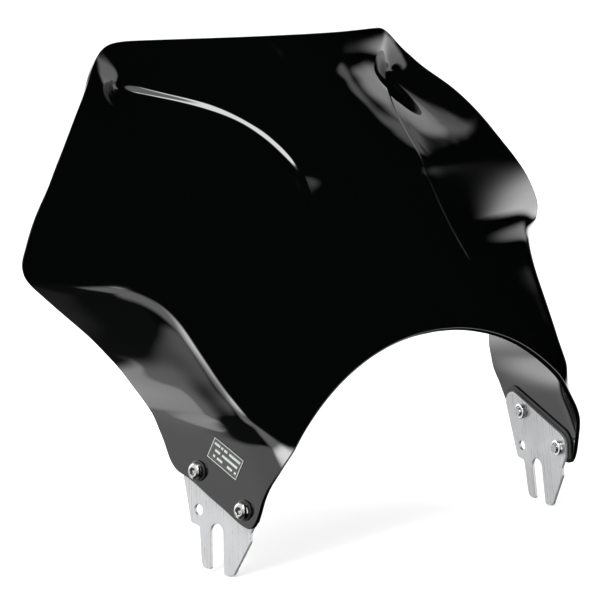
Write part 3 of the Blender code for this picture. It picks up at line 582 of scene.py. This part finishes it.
LABEL_AT, LABEL_L, LABEL_W = (-25.8, 31.4), 25.5, 13.6   # centre in plate (y, z)
LABEL_TILT = math.atan2(HOLE_REAR[1] - HOLE_FRONT[1], HOLE_REAR[0] - HOLE_FRONT[0])
# rows of dashes: height, start and end on the film, mm
LABEL_ROWS = ((10.4, 1.8, 23.8), (6.9, 1.8, 21.5), (3.4, 1.8, 9.5), (3.4, 13.5, 21.5))
DASHES_PER_MM, DASH_FILL, DASH_SKIP = 1.15, 0.72, 0.16   # pitch, inked part, share left out


def label_material():
    """Dark film with a fine border and rows of plain dashes."""
    material, nodes, shader = new_material("label_film")
    sheet = nodes.add("ShaderNodeUVMap", uv_map="sheet").outputs[0]
    split = nodes.add("ShaderNodeSeparateXYZ", {"Vector": sheet})
    along = nodes.math("MULTIPLY", split.outputs[0], LABEL_L)
    across = nodes.math("MULTIPLY", split.outputs[1], LABEL_W)
    end = nodes.math("MINIMUM", along, nodes.math("SUBTRACT", LABEL_L, along))
    flank = nodes.math("MINIMUM", across, nodes.math("SUBTRACT", LABEL_W, across))
    edge = nodes.math("MINIMUM", end, flank)
    border = nodes.product([nodes.remap(edge, (0.35, 0.5)), nodes.remap(edge, (0.75, 0.6))])
    rows = None
    for i, (height, start, stop) in enumerate(LABEL_ROWS):
        near = nodes.math("ABSOLUTE", nodes.math("SUBTRACT", across, height))
        line = nodes.remap(near, (0.85, 0.6))
        span = nodes.product([nodes.remap(along, (start, start + 0.1)),
                              nodes.remap(along, (stop, stop - 0.1))])
        # some dashes are left out at random, by a seed of each row's own
        cell = nodes.math("FLOOR", nodes.math("MULTIPLY", along, DASHES_PER_MM))
        seed = nodes.add("ShaderNodeCombineXYZ", {0: cell, 1: float(i * 7 + 3)})
        pick = nodes.add("ShaderNodeTexWhiteNoise", {"Vector": seed.outputs[0]},
                         noise_dimensions="2D")
        kept = nodes.math("GREATER_THAN", pick.outputs["Value"], DASH_SKIP)
        part = nodes.math("FRACT", nodes.math("MULTIPLY", along, DASHES_PER_MM))
        dash = nodes.math("MULTIPLY", kept, nodes.math("LESS_THAN", part, DASH_FILL))
        mark = nodes.product([line, span, dash])
        rows = mark if rows is None else nodes.math("MAXIMUM", rows, mark)
    ink = nodes.math("MAXIMUM", border, nodes.math("MULTIPLY", rows, 0.8))
    film, print_colour = (0.020, 0.023, 0.021, 1), (0.62, 0.65, 0.62, 1)
    fine = nodes.noise(nodes.coord(), scale=1200.0, detail=3.0)
    nodes.feed(shader, {"Base Color": nodes.mix(ink, film, print_colour),
                        "Roughness": nodes.remap(fine, (0.3, 0.7), to=(0.25, 0.38))})
    nodes.bump(shader, fine, strength=0.2, distance=0.00003)
    return material


ACRYLIC = acrylic()
ALUMINIUM = brushed_aluminium()
STAINLESS = polished("polished_stainless", colour=(0.34, 0.335, 0.325), roughness=0.16)
ZINC = polished("zinc_plated_steel", colour=(0.60, 0.61, 0.63), roughness=0.26)
RUBBER = plastic("black_rubber", colour=(0.014, 0.014, 0.014), roughness=0.62,
                 scale=1500.0, bump_depth=0.00008)
NYLON = plastic("black_nylon", colour=(0.010, 0.010, 0.011), roughness=0.36,
                scale=900.0, bump_depth=0.00003)
LABEL = label_material()


# ---- mesh helpers
def place(obj, material, body, node):
    bpy.context.scene.collection.objects.link(obj)
    obj.data.materials.clear()   # a copied mesh brings its material along
    obj.data.materials.append(material)
    bpy.context.view_layer.update()
    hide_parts(node)
    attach(obj, body)


def smooth_closed(mesh, sharp_degrees):
    """Turns the faces outward and smooths all but the sharp edges."""
    bm = bmesh.new()
    bm.from_mesh(mesh)
    bmesh.ops.recalc_face_normals(bm, faces=bm.faces)
    bm.to_mesh(mesh)
    bm.free()
    mesh.shade_smooth()
    mesh.set_sharp_from_angle(angle=math.radians(sharp_degrees))


# ---- windscreen shell
STRIP_ZONES = (116.0, 216.0, 248.0)   # rows along the strip, denser in the upper zone
STRIP_MARKS = (-0.45, -0.2, 0.05, 0.35, 0.65, 0.95, 1.2, 1.45)   # parts of its width
GRID_Z = (-10.0, 272)                 # heights covered by the grid


def outline_points(step):
    """The cut outline in (girth, height), walked at even steps in space."""
    arch = [(math.sqrt(ARCH_R**2 - (z - ARCH_TOP + ARCH_R)**2) + ARCH_Y, z)
            for z in ARCH_HEIGHTS]
    knots = np.array([(0.0, ARCH_TOP)]
                     + [(girth_at(mark, z), z) for mark, z in arch + OUTLINE]
                     + [(0.0, TOP_CENTRE_Z)])
    chord = np.concatenate([[0], np.cumsum(np.linalg.norm(np.diff(knots, axis=0), axis=1))])
    path = spline([(c, *p) for c, p in zip(chord, knots)])
    dense = np.linspace(0, chord[-1], 4000)
    points = path(dense)
    surface = skin(points[:, 0], points[:, 1])
    run = np.concatenate([[0], np.cumsum(np.linalg.norm(np.diff(surface, axis=0), axis=1))])
    count = int(round(run[-1] / step))
    points = path(np.interp(np.linspace(0, run[-1], count + 1), run, dense))
    points[0], points[-1] = (0.0, ARCH_TOP), (0.0, TOP_CENTRE_Z)
    return points


def arm_hole(hole):
    """A round hole square to the arm's flat face, in (girth, height)."""
    out = []
    for y, z in circle(hole, SHELL_HOLE_R, 40):
        point = on_plate(1, y, z, SKIN_H)
        out.append((girth_at(point.x + point.y, point.z), point.z))
    return np.array(out[::-1])


class SheetEdge:
    """A cut edge with rounded corners; loop is its (girth, height) line.

    An open loop starts and ends on the centre plane.
    """

    def __init__(self, loop, closed, radius, steps):
        self.closed, self.radius, self.steps = closed, radius, steps
        self.surface = surface = skin(loop[:, 0], loop[:, 1])
        self.normal = skin_normal(loop[:, 0], loop[:, 1])
        if closed:
            tangent = np.roll(surface, -1, axis=0) - np.roll(surface, 1, axis=0)
        else:
            flip = np.array([-1, 1, 1])
            tangent = np.vstack([surface[1] - surface[1] * flip, surface[2:] - surface[:-2],
                                 surface[-2] * flip - surface[-2]])
        out = np.cross(tangent, self.normal)
        self.out = out / np.linalg.norm(out, axis=1, keepdims=True)
        if not closed:
            self.out[0, 0] = self.out[-1, 0] = 0.0
            self.normal[0, 0] = self.normal[-1, 0] = 0.0
        self.inset = self.inset_loop(loop)

    def inset_loop(self, loop):
        """The loop moved into the sheet by the corner radius."""
        along_girth, along_z = (d / (2 * DELTA)
                                for d in skin_differences(loop[:, 0], loop[:, 1]))
        inset = loop.copy()
        for i in range(len(loop)):
            slopes = np.stack([along_girth[i], along_z[i]], 1)
            inset[i] += np.linalg.lstsq(slopes, -self.out[i] * self.radius, rcond=None)[0]
        if not self.closed:
            inset[0, 0] = inset[-1, 0] = 0.0
        return inset

    def build(self, base, inner_base, points, normals, faces):
        """Adds rings from the outer loop's points round to the inner loop's."""
        count = len(self.surface)
        # profile rows: distance in, depth, normal's outward and skin parts
        profile = []
        for i in range(1, self.steps + 1):
            angle = math.pi / 2 * i / self.steps
            sine, cosine = math.sin(angle), math.cos(angle)
            profile.append((self.radius * (1 - sine), self.radius * (1 - cosine), sine, cosine))
        profile += [(into, SHELL_T - depth, sine, -cosine)
                    for into, depth, sine, cosine in profile[::-1]]
        rings = [list(range(base, base + count))]
        for into, depth, sine, cosine in profile:
            rings.append(list(range(len(points), len(points) + count)))
            points += [*(self.surface - self.out * into - self.normal * depth)]
            normals += [*(self.out * sine + self.normal * cosine)]
        rings.append([i + inner_base for i in rings[0]])
        for upper, lower in zip(rings[:-1], rings[1:]):
            for i in range(count if self.closed else count - 1):
                j = (i + 1) % count
                faces.append((upper[j], upper[i], lower[i], lower[j]))


def clear_of(points, others, reach):
    """The points farther than reach from all others, found in batches."""
    keep = np.ones(len(points), bool)
    for start in range(0, len(points), 2000):
        batch = points[start:start + 2000, None]
        keep[start:start + 2000] = np.linalg.norm(batch - others[None], axis=-1).min(1) > reach
    return points[keep]


def strip_rows(step):
    """(girth, height) points along the steep strip, which keep its edges crisp."""
    rows, girths = [], np.linspace(0, 200, 801)
    low, middle, high = STRIP_ZONES
    for z in np.concatenate([np.arange(low, middle, step),
                             np.arange(middle, high, step * 0.45)]):
        x = section_skin(girths, np.full_like(girths, z))[:, 0]
        at, width = CREASE(z)[0], STRIP(z)[1]
        rows += [(float(np.interp(at - mark * width, x, girths)), float(z))
                 for mark in STRIP_MARKS]
    return np.array(rows)


def sheet_grid(loops, step):
    """Staggered (girth, height) points inside the loops, with the strip's rows."""
    grid, row, z = [], 0, GRID_Z[0]
    while z < GRID_Z[1]:
        offset = step * (0.5 if row % 2 else 1.0)
        grid += [(girth, z) for girth in np.arange(offset, GIRTH_MAX, step)]
        z += step * 0.78
        row += 1
    grid = np.array(grid)
    grid = grid[inside(grid, loops)]
    rows = strip_rows(step * 0.45)
    for others in loops + [rows]:
        grid = clear_of(grid, others, step * 0.5)
    return np.vstack([grid, rows])


def half_shell(step, rim_step):
    """Points, normals and faces of the half at positive x."""
    edges = [SheetEdge(outline_points(rim_step), closed=False, radius=0.55, steps=4)]
    edges += [SheetEdge(arm_hole(hole), closed=True, radius=0.3, steps=2)
              for hole in (HOLE_REAR, HOLE_FRONT)]
    rim = edges[0].inset
    bottom, top = rim[0, 1], rim[-1, 1]
    count = int(round((top - bottom) / (step * 0.85)))
    centre = np.array([(0.0, z) for z in np.linspace(top, bottom, count + 1)[1:-1]])
    loops = [np.vstack([rim, centre])] + [edge.inset for edge in edges[1:]]
    flat, triangles = triangulate(loops, sheet_grid(loops, step))
    # the loops' points keep their order at the head of flat
    girth, height = flat[:, 0], flat[:, 1]
    outer, normal = skin(girth, height), skin_normal(girth, height)
    on_axis = np.abs(girth) < 1e-4
    outer[on_axis, 0] = 0.0
    normal[on_axis, 0] = 0.0
    normal /= np.linalg.norm(normal, axis=1, keepdims=True)
    points = [*outer, *(outer - normal * SHELL_T)]
    normals = [*normal, *(-normal)]
    inner_base = len(outer)
    faces = [tuple(t) for t in triangles]
    faces += [(a + inner_base, c + inner_base, b + inner_base) for a, b, c in triangles]
    base = 0
    for edge, loop in zip(edges, loops):
        edge.build(base, inner_base, points, normals, faces)
        base += len(loop)
    return np.array(points), np.array(normals), faces


def build_shell(step, rim_step):
    points, normals, faces = half_shell(step, rim_step)
    # mirror, sharing the points on the centre plane
    total = len(points)
    mirror = np.arange(total) + total
    on_axis = np.abs(points[:, 0]) < 1e-3
    mirror[on_axis] = np.arange(total)[on_axis]
    points = np.vstack([points, points * [-1, 1, 1]])
    normals = np.vstack([normals, normals * [-1, 1, 1]])
    faces += [tuple(int(mirror[i]) for i in face[::-1]) for face in faces]
    used = np.zeros(2 * total, bool)
    for face in faces:
        used[list(face)] = True
    number = np.cumsum(used) - 1
    mesh = bpy.data.meshes.new("windscreen_shell_skin")
    mesh.from_pydata([tuple(to_world(p)) for p in points[used]], [],
                     [tuple(int(number[i]) for i in face) for face in faces])
    mesh.shade_smooth()
    mesh.normals_split_custom_set_from_vertices([tuple(n) for n in normals[used]])
    mesh.validate()
    return mesh


shell_step, shell_rim_step = ((2.2, 1.5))
shell = bpy.data.objects.new("shell_formed_sheet", build_shell(shell_step, shell_rim_step))
place(shell, ACRYLIC, "screen", "windscreen_shell")


# ---- bracket plates and rubber pads
# corners are (y, z, radius) in plate coordinates
PLATE_REAR, PLATE_TOP = 13.0, 39.3
SLOT_FRONT, SLOT_REAR = SLOT_Y - SLOT_R, SLOT_Y + SLOT_R
FRONT_CORNERS = [
    (PLATE_REAR, PLATE_TOP, 8.0),            # lobe round the rear screw
    (-46.6, 9.3, 7.0),                       # lobe round the front screw
    (-44.9, -3.0, 5.0), (-40.2, -10.0, 3.0), (-39.9, -15.5, 3.0),
    (-26.3, -35.9, 3.4),                     # front tine
    (SLOT_FRONT, -35.9, 1.2)]
REAR_CORNERS = [(SLOT_REAR, -33.4, 1.2), (-1.9, -33.4, 4.0),   # rear tine
                (-0.6, -9.4, 1.5), (6.2, -7.6, 2.5)]

# the pad shows as a narrow rim above and in front of the plate and ends just
# inside the lower edge of the shell's arm
PAD_CORNERS = [(15.4, 42.9, 8.0), (-49.5, 11.3, 9.5), (-47.4, -4.6, 3.0),
               (-38.5, -5.0, 1.5), (9.4, 22.5, 2.0), (14.2, 27.2, 1.5)]


def plate_loop():
    # two sharp helper corners steer the end arcs of each part, then are cut off
    front = rounded(FRONT_CORNERS + [(SLOT_FRONT, SLOT_TOP, 0), (PLATE_REAR, 0.0, 0)])[:-2]
    rear = rounded([(PLATE_REAR, PLATE_TOP, 0), (SLOT_REAR, SLOT_TOP, 0)] + REAR_CORNERS)[2:]
    slot = [(SLOT_Y - SLOT_R * math.cos(math.pi * k / 12),
             SLOT_TOP + SLOT_R * math.sin(math.pi * k / 12)) for k in range(13)]
    return front + slot + rear


def flat_piece(name, side, loops, low, high, bevel):
    """Flat sheet between two heights above the plate's mid plane."""
    points, triangles = triangulate([[(side * y, z) for y, z in loop] for loop in loops])
    bm = bmesh.new()
    verts = [bm.verts.new(Vector((x, y, low)) * MM) for x, y in points]
    faces = [bm.faces.new([verts[i] for i in t]) for t in triangles]
    lift = bmesh.ops.extrude_face_region(bm, geom=faces)
    bmesh.ops.translate(bm, vec=(0, 0, (high - low) * MM),
                        verts=[e for e in lift["geom"] if isinstance(e, bmesh.types.BMVert)])
    bmesh.ops.recalc_face_normals(bm, faces=bm.faces)
    bmesh.ops.dissolve_limit(bm, angle_limit=math.radians(1), verts=bm.verts, edges=bm.edges)
    mesh = bpy.data.meshes.new(name)
    bm.to_mesh(mesh)
    bm.free()
    mesh.shade_smooth()
    obj = bpy.data.objects.new(name, mesh)
    obj.matrix_world = side_matrix(side)
    eased = obj.modifiers.new("eased_edges", "BEVEL")
    eased.width = bevel * MM
    eased.segments = 2
    eased.limit_method = "ANGLE"
    eased.angle_limit = math.radians(50)
    eased.harden_normals = True
    return obj


SIDES = ((-1, "left"), (1, "right"))
PAD_LOW = PLATE_T / 2 + GAP
for side, tag in SIDES:
    plate_holes = [circle(HOLE_REAR, NUT_HOLE_R, 48), circle(HOLE_FRONT, NUT_HOLE_R, 48),
                   circle(SPARE_HOLE, SPARE_R, 48)]
    place(flat_piece("slotted_plate_" + tag, side, [plate_loop()] + plate_holes,
                     -PLATE_T / 2, PLATE_T / 2, bevel=0.22),
          ALUMINIUM, "screen", "bracket_plate_" + tag)
    pad_holes = [circle(HOLE_REAR, PAD_HOLE_R, 40), circle(HOLE_FRONT, PAD_HOLE_R, 40)]
    place(flat_piece("rubber_gasket_" + tag, side, [rounded(PAD_CORNERS, 10)] + pad_holes,
                     PAD_LOW, PAD_LOW + PAD_T, bevel=0.2),
          RUBBER, "screen", "rubber_pad_" + tag)


# ---- fasteners
def lathe(rows, segments, thread=None):
    """Closed body of revolution about local z.

    rows are (radius, height) or (radius, height, flats).  thread = (low, high,
    pitch, depth) cuts a helical groove into the wall between the two heights.
    """
    profile = []
    for start, end in zip(rows[:-1], rows[1:]):
        profile.append(start)
        if (thread and start[1] >= thread[0] - 1e-6 and end[1] <= thread[1] + 1e-6
                and start[0] == end[0]):
            count = int(abs(end[1] - start[1]) / (thread[2] / 8))
            profile += [(start[0], start[1] + (end[1] - start[1]) * i / count)
                        for i in range(1, count)]
    profile.append(rows[-1])
    verts, rings = [], []
    for radius, height, *flats in profile:
        if radius == 0:
            rings.append([len(verts)])
            verts.append((0, 0, height * MM))
            continue
        ring = []
        for i in range(segments):
            angle, reach = 2 * math.pi * i / segments, radius
            if flats:
                sector = 2 * math.pi / flats[0]
                reach = radius / math.cos((angle + sector / 2) % sector - sector / 2)
            if thread and thread[0] < height < thread[1]:
                low, high, pitch, depth = thread
                phase = (height / pitch - angle / (2 * math.pi)) % 1.0
                fade = min(1.0, (height - low) / 0.4, (high - height) / 0.4)
                reach -= depth * max(0.0, 1 - abs(phase - 0.5) * 2.6) * max(0.0, fade)
            ring.append(len(verts))
            verts.append((reach * math.cos(angle) * MM, reach * math.sin(angle) * MM,
                          height * MM))
        rings.append(ring)
    faces = []
    pairs = list(zip(rings[:-1], rings[1:]))
    if len(rings[0]) > 1 and len(rings[-1]) > 1:
        pairs.append((rings[-1], rings[0]))
    for a, b in pairs:
        for i in range(segments):
            j = (i + 1) % segments
            if len(a) == 1:
                faces.append((a[0], b[j], b[i]))
            elif len(b) == 1:
                faces.append((a[i], a[j], b[0]))
            else:
                faces.append((a[i], a[j], b[j], b[i]))
    mesh = bpy.data.meshes.new("turned")
    mesh.from_pydata(verts, [], faces)
    smooth_closed(mesh, 38)
    return mesh


# heights below are from the plate's mid plane, outward
WASHER_LOW = SKIN_H + GAP
WASHER_TOP = WASHER_LOW + 1.1
HEAD_LOW = WASHER_TOP + GAP
HEAD_H, HEAD_R, SOCKET = 3.3, 5.25, 2.0
HEAD_RIM = 0.5                   # height of the rim below the dome
DOME_MID, DOME_END = 2.0, 2.95   # radii: the ellipse's centre, the end of the dome
SHANK_END, SHANK_R, THREAD_TOP = -4.9, 2.85, 2.4
NUT_FACE = -PLATE_T / 2 - GAP
NUT_LOW = NUT_FACE - 2.7


def button_head():
    """Flat-bottomed dome with a small rim, hexagon socket and threaded shank."""
    def ellipse(radius):
        return math.sqrt(1 - ((radius - DOME_MID) / (HEAD_R - DOME_MID))**2)

    rows = [(0, SHANK_END), (2.25, SHANK_END), (SHANK_R, -4.35), (SHANK_R, THREAD_TOP),
            (2.9, 2.5), (2.9, HEAD_LOW - 0.2), (3.1, HEAD_LOW), (HEAD_R - 0.25, HEAD_LOW),
            (HEAD_R - 0.07, HEAD_LOW + 0.07), (HEAD_R, HEAD_LOW + 0.25),
            (HEAD_R, HEAD_LOW + HEAD_RIM)]
    for i in range(1, 13):
        radius = HEAD_R + (DOME_END - HEAD_R) * i / 12
        rows.append((radius, HEAD_LOW + HEAD_RIM
                     + (HEAD_H - HEAD_RIM) * ellipse(radius) / ellipse(DOME_END)))
    top = HEAD_LOW + HEAD_H
    rows += [(2.75, top + 0.02), (2.42, top), (SOCKET + 0.12, top - 0.1, 6),
             (SOCKET, top - 0.28, 6), (SOCKET, top - 2.0, 6), (0, top - 2.9)]
    return lathe(rows, 96, thread=(SHANK_END, THREAD_TOP, 1.0, 0.42))


def shoulder_washer():
    rows = [(5.75, WASHER_LOW), (6.0, WASHER_LOW + 0.12), (6.0, WASHER_TOP - 0.4),
            (5.93, WASHER_TOP - 0.15), (5.75, WASHER_TOP - 0.02), (5.5, WASHER_TOP),
            (3.3, WASHER_TOP), (3.12, WASHER_TOP - 0.15), (3.12, 2.7), (3.25, 2.6), (3.75, 2.6),
            (3.85, 2.75), (3.85, WASHER_LOW - 0.05), (3.95, WASHER_LOW)]
    return lathe(rows, 72)


def press_nut():
    rows = [(3.9, 0.85), (4.05, 0.7), (4.05, 0.1), (3.85, -0.1), (3.85, -0.7), (4.1, NUT_FACE),
            (4.6, NUT_FACE), (4.75, NUT_FACE - 0.15), (4.75, NUT_LOW + 0.55),
            (4.6, NUT_LOW + 0.18), (4.3, NUT_LOW), (3.45, NUT_LOW), (3.05, NUT_LOW + 0.4),
            (3.05, 0.45), (3.4, 0.85)]
    return lathe(rows, 72)


screw_mesh, washer_mesh, nut_mesh = button_head(), shoulder_washer(), press_nut()
for side, tag in SIDES:
    for k, (hole, where) in enumerate(((HOLE_REAR, "rear"), (HOLE_FRONT, "front"))):
        key = tag + "_" + where
        # each screw stops at its own angle
        turn = Matrix.Rotation(math.radians(17 + 23 * k + 9 * side), 4, "Z")
        for mesh, material, body, slot_name, node, name, spin in (
                (washer_mesh, NYLON, "washer_" + key, "nylon_black",
                 "shoulder_washer_", "flanged_bush_", Matrix()),
                (screw_mesh, STAINLESS, "screw_" + key, "stainless_polished",
                 "button_screw_", "socket_button_", turn),
                (nut_mesh, ZINC, "screen", "steel_zinc",
                 "press_nut_", "clinch_nut_", Matrix())):
            obj = bpy.data.objects.new(name + key, mesh.copy() if mesh.users else mesh)
            obj.matrix_world = side_matrix(side, *hole) @ spin
            place(obj, material, body, node + key)


# ---- label, on the left arm
FILM_LOW, FILM_HIGH = 0.06, 0.2  # above the skin
FILM_CORNER_R = 0.8
FILM_COLUMNS, FILM_ROWS = 40, 22


def label_film():
    cosine, sine = math.cos(LABEL_TILT), math.sin(LABEL_TILT)
    flat_u, flat_v = LABEL_L / 2 - FILM_CORNER_R, LABEL_W / 2 - FILM_CORNER_R
    low, high, sheet = [], [], []
    for j in range(FILM_ROWS + 1):
        for i in range(FILM_COLUMNS + 1):
            u, v = (i / FILM_COLUMNS - 0.5) * LABEL_L, (j / FILM_ROWS - 0.5) * LABEL_W
            # round the corners of the film
            if abs(u) > flat_u and abs(v) > flat_v:
                over_u, over_v = abs(u) - flat_u, abs(v) - flat_v
                pull = max(over_u, over_v) / max(1e-9, math.hypot(over_u, over_v))
                u = math.copysign(flat_u + over_u * pull, u)
                v = math.copysign(flat_v + over_v * pull, v)
            at = on_plate(1, LABEL_AT[0] + cosine * u - sine * v,
                          LABEL_AT[1] + sine * u + cosine * v, SKIN_H)
            girth = girth_at(at.x + at.y, at.z)
            point, normal = skin(girth, at.z), skin_normal(girth, at.z)
            for layer, height in ((low, FILM_LOW), (high, FILM_HIGH)):
                layer.append(tuple(to_world((point + normal * height) * [-1, 1, 1])))
            sheet.append((u / LABEL_L + 0.5, v / LABEL_W + 0.5))

    def index(i, j):
        return j * (FILM_COLUMNS + 1) + i

    top, faces = len(low), []
    for j in range(FILM_ROWS):
        for i in range(FILM_COLUMNS):
            a, b, c, d = index(i, j), index(i + 1, j), index(i + 1, j + 1), index(i, j + 1)
            faces += [(a, b, c, d), (top + a, top + d, top + c, top + b)]
    ring = ([index(i, 0) for i in range(FILM_COLUMNS)]
            + [index(FILM_COLUMNS, j) for j in range(FILM_ROWS)]
            + [index(i, FILM_ROWS) for i in range(FILM_COLUMNS, 0, -1)]
            + [index(0, j) for j in range(FILM_ROWS, 0, -1)])
    for a, b in zip(ring, ring[1:] + ring[:1]):
        faces.append((a, top + a, top + b, b))
    mesh = bpy.data.meshes.new("label_film")
    mesh.from_pydata(low + high, [], faces)
    uv_layer = mesh.uv_layers.new(name="sheet")
    for loop in mesh.loops:
        uv_layer.data[loop.index].uv = sheet[loop.vertex_index % top]
    smooth_closed(mesh, 40)
    return mesh


place(bpy.data.objects.new("blank_label", label_film()), LABEL, "screen",
      "info_label")

# ---- camera
LENS, SENSOR = 156.192, 36.0     # mm
AZIMUTH, ELEVATION, ROLL = map(math.radians, (-39.60, 5.15, -3.66))
SHIFT_RIGHT, SHIFT_UP, DISTANCE = -42.2, 105.9, 1570.0   # from the design origin


def add_camera():
    back = Vector((math.sin(AZIMUTH) * math.cos(ELEVATION),
                   -math.cos(AZIMUTH) * math.cos(ELEVATION), math.sin(ELEVATION)))
    level = Vector((math.cos(AZIMUTH), math.sin(AZIMUTH), 0))
    upright = back.cross(level)
    right = level * math.cos(ROLL) + upright * math.sin(ROLL)
    up = upright * math.cos(ROLL) - level * math.sin(ROLL)
    camera = bpy.data.cameras.new("photo_view")
    camera.sensor_width = SENSOR
    camera.lens = LENS
    camera.clip_end = 50.0
    obj = bpy.data.objects.new("photo_view", camera)
    pose = Matrix((right, up, back)).transposed().to_4x4()
    pose.translation = to_world(right * SHIFT_RIGHT + up * SHIFT_UP + back * DISTANCE)
    obj.matrix_world = pose
    bpy.context.scene.collection.objects.link(obj)
    bpy.context.scene.camera = obj


add_camera()


# ---- floor
def add_floor():
    bm = bmesh.new()
    bmesh.ops.create_grid(bm, x_segments=24, y_segments=24, size=6.0)
    mesh = bpy.data.meshes.new("studio_floor")
    bm.to_mesh(mesh)
    bm.free()
    obj = bpy.data.objects.new("studio_floor", mesh)
    obj.location = (0, 0, CAD_BOX[0][2] - 0.0006)   # just under the product
    obj.visible_glossy = False
    material, nodes, shader = new_material("floor_white")
    soft = nodes.noise(nodes.coord(), scale=3.0)
    nodes.feed(shader, {
        "Base Color": nodes.mix(soft, (0.93, 0.93, 0.93, 1), (0.95, 0.95, 0.95, 1)),
        "Roughness": 0.9, "Specular IOR Level": 0.0})
    mesh.materials.append(material)
    bpy.context.scene.collection.objects.link(obj)


add_floor()

# ---- world
# What the gloss mirrors: each patch is a product of smooth steps, given as
# (angle, from, to, level at from, level at to).  Angles are in degrees: az is 0
# to the front and grows to the right, el is the elevation; studio() makes the
# others, slanted ones from them.
REFLECTIONS = (
    # low reflector on the right, under a sloping roof line
    (("az", 60, 122, 3.4, 2.6), ("az", 5, 20, 0, 1), ("el", -32, -18, 0, 1),
     ("roof", 40, 48, 1, 0), ("gable", 121, 134, 1, 0)),
    # its rear end, and two dimmer patches above that
    (("az", 117, 123, 0, 1.8), ("el", -32, -18, 0, 1), ("el", 12, 22, 1, 0),
     ("az", 132, 146, 1, 0)),
    (("az", 108, 117, 0, 0.85), ("az", 130, 145, 1, 0), ("el", 6, 14, 0, 1),
     ("el", 26, 36, 1, 0)),
    (("az", 97, 103, 0, 0.6), ("az", 112, 120, 1, 0), ("el", 20, 26, 0, 1),
     ("el", 32, 44, 1, 0)),
    # light box on the left: its right edge leans, its lower edge falls to the rear
    (("az", -150, -110, 1.9, 2.4), ("beside", -6, 1, 1, 0), ("above", -8, 6, 0, 1),
     ("el", 62, 72, 1, 0), ("az", -158, -146, 0, 1)),
    # small patch on the left near the horizon
    (("az", -110, -100, 0, 1.5), ("az", -84, -74, 1, 0), ("above", -4, 2, 0, 1),
     ("el", 2, 8, 1, 0)),
    # upright tube at the left front
    (("el", 18, 32, 3.5, 22.0), ("az", -68, -60, 0, 1), ("az", -53, -48, 1, 0),
     ("el", -24, -12, 0, 1), ("el", 62, 76, 1, 0)),
    # bright card at the left rear and a patch below it
    (("az", -148, -134, 1, 0), ("el", -14, 20, 1.5, 7.0), ("el", -24, -14, 0, 1),
     ("el", 40, 60, 1, 0), ("az", -177, -164, 0, 1)),
    (("az", -150, -144, 3.6, 0), ("el", -44, -36, 0, 1), ("el", -28, -20, 1, 0),
     ("az", -177, -166, 0, 1)),
    # wall at the right rear
    (("az", 126, 142, 0, 3.0), ("el", -30, -16, 0, 1), ("el", 35, 60, 1, 0),
     ("az", 164, 177, 1, 0)),
    # grey table on the left, below the horizon
    (("el", -66, -50, 0.30, 0.06), ("down", 0, 8, 0, 1), ("az", -52, -36, 1, 0)))


def studio():
    """White for camera and diffuse rays, a dark room with REFLECTIONS for the rest."""
    world = bpy.data.worlds.new("studio")
    bpy.context.scene.world = world
    world.use_nodes = True
    nodes = Nodes(world.node_tree)
    out = nodes.add("ShaderNodeOutputWorld")
    path = nodes.add("ShaderNodeLightPath")
    direction = nodes.add("ShaderNodeTexCoord").outputs["Generated"]
    x, y, z = nodes.add("ShaderNodeSeparateXYZ", {"Vector": direction}).outputs
    heading = nodes.math("ARCTAN2", x, nodes.math("MULTIPLY", y, -1.0))
    az = nodes.math("DEGREES", heading, 0.0)
    el = nodes.math("DEGREES", nodes.math("ARCSINE", z, 0.0), 0.0)
    edge = nodes.math("MINIMUM", nodes.math("ADD", nodes.math("MULTIPLY", el, 0.8), -76.0), -46.0)
    sill = nodes.math("ADD", nodes.math("MULTIPLY", az, 0.6), 51.0)
    angles = {"az": az, "el": el,
              "roof": nodes.math("ADD", el, nodes.math("MULTIPLY", az, 0.33)),
              "gable": nodes.math("ADD", el, nodes.math("MULTIPLY", az, 1.2)),
              "beside": nodes.math("SUBTRACT", az, edge),
              "above": nodes.math("SUBTRACT", el, sill),
              "down": nodes.math("MULTIPLY", el, -1.0)}
    glossy = None
    for steps in REFLECTIONS:
        patch = nodes.product([nodes.remap(angles[angle], (start, end), to=levels)
                               for angle, start, end, *levels in steps])
        glossy = patch if glossy is None else nodes.math("MAXIMUM", glossy, patch)
    room = nodes.add("ShaderNodeBackground", {"Strength": glossy})
    plain = nodes.add("ShaderNodeBackground", {"Color": (1, 1, 1, 1), "Strength": 1.15})
    ray = nodes.math("MAXIMUM", path.outputs["Is Camera Ray"], path.outputs["Is Diffuse Ray"])
    mix = nodes.add("ShaderNodeMixShader", {0: ray, 1: room.outputs[0], 2: plain.outputs[0]})
    nodes.feed(out, {"Surface": mix.outputs[0]})


studio()
bpy.context.scene.view_settings.view_transform = "Standard"
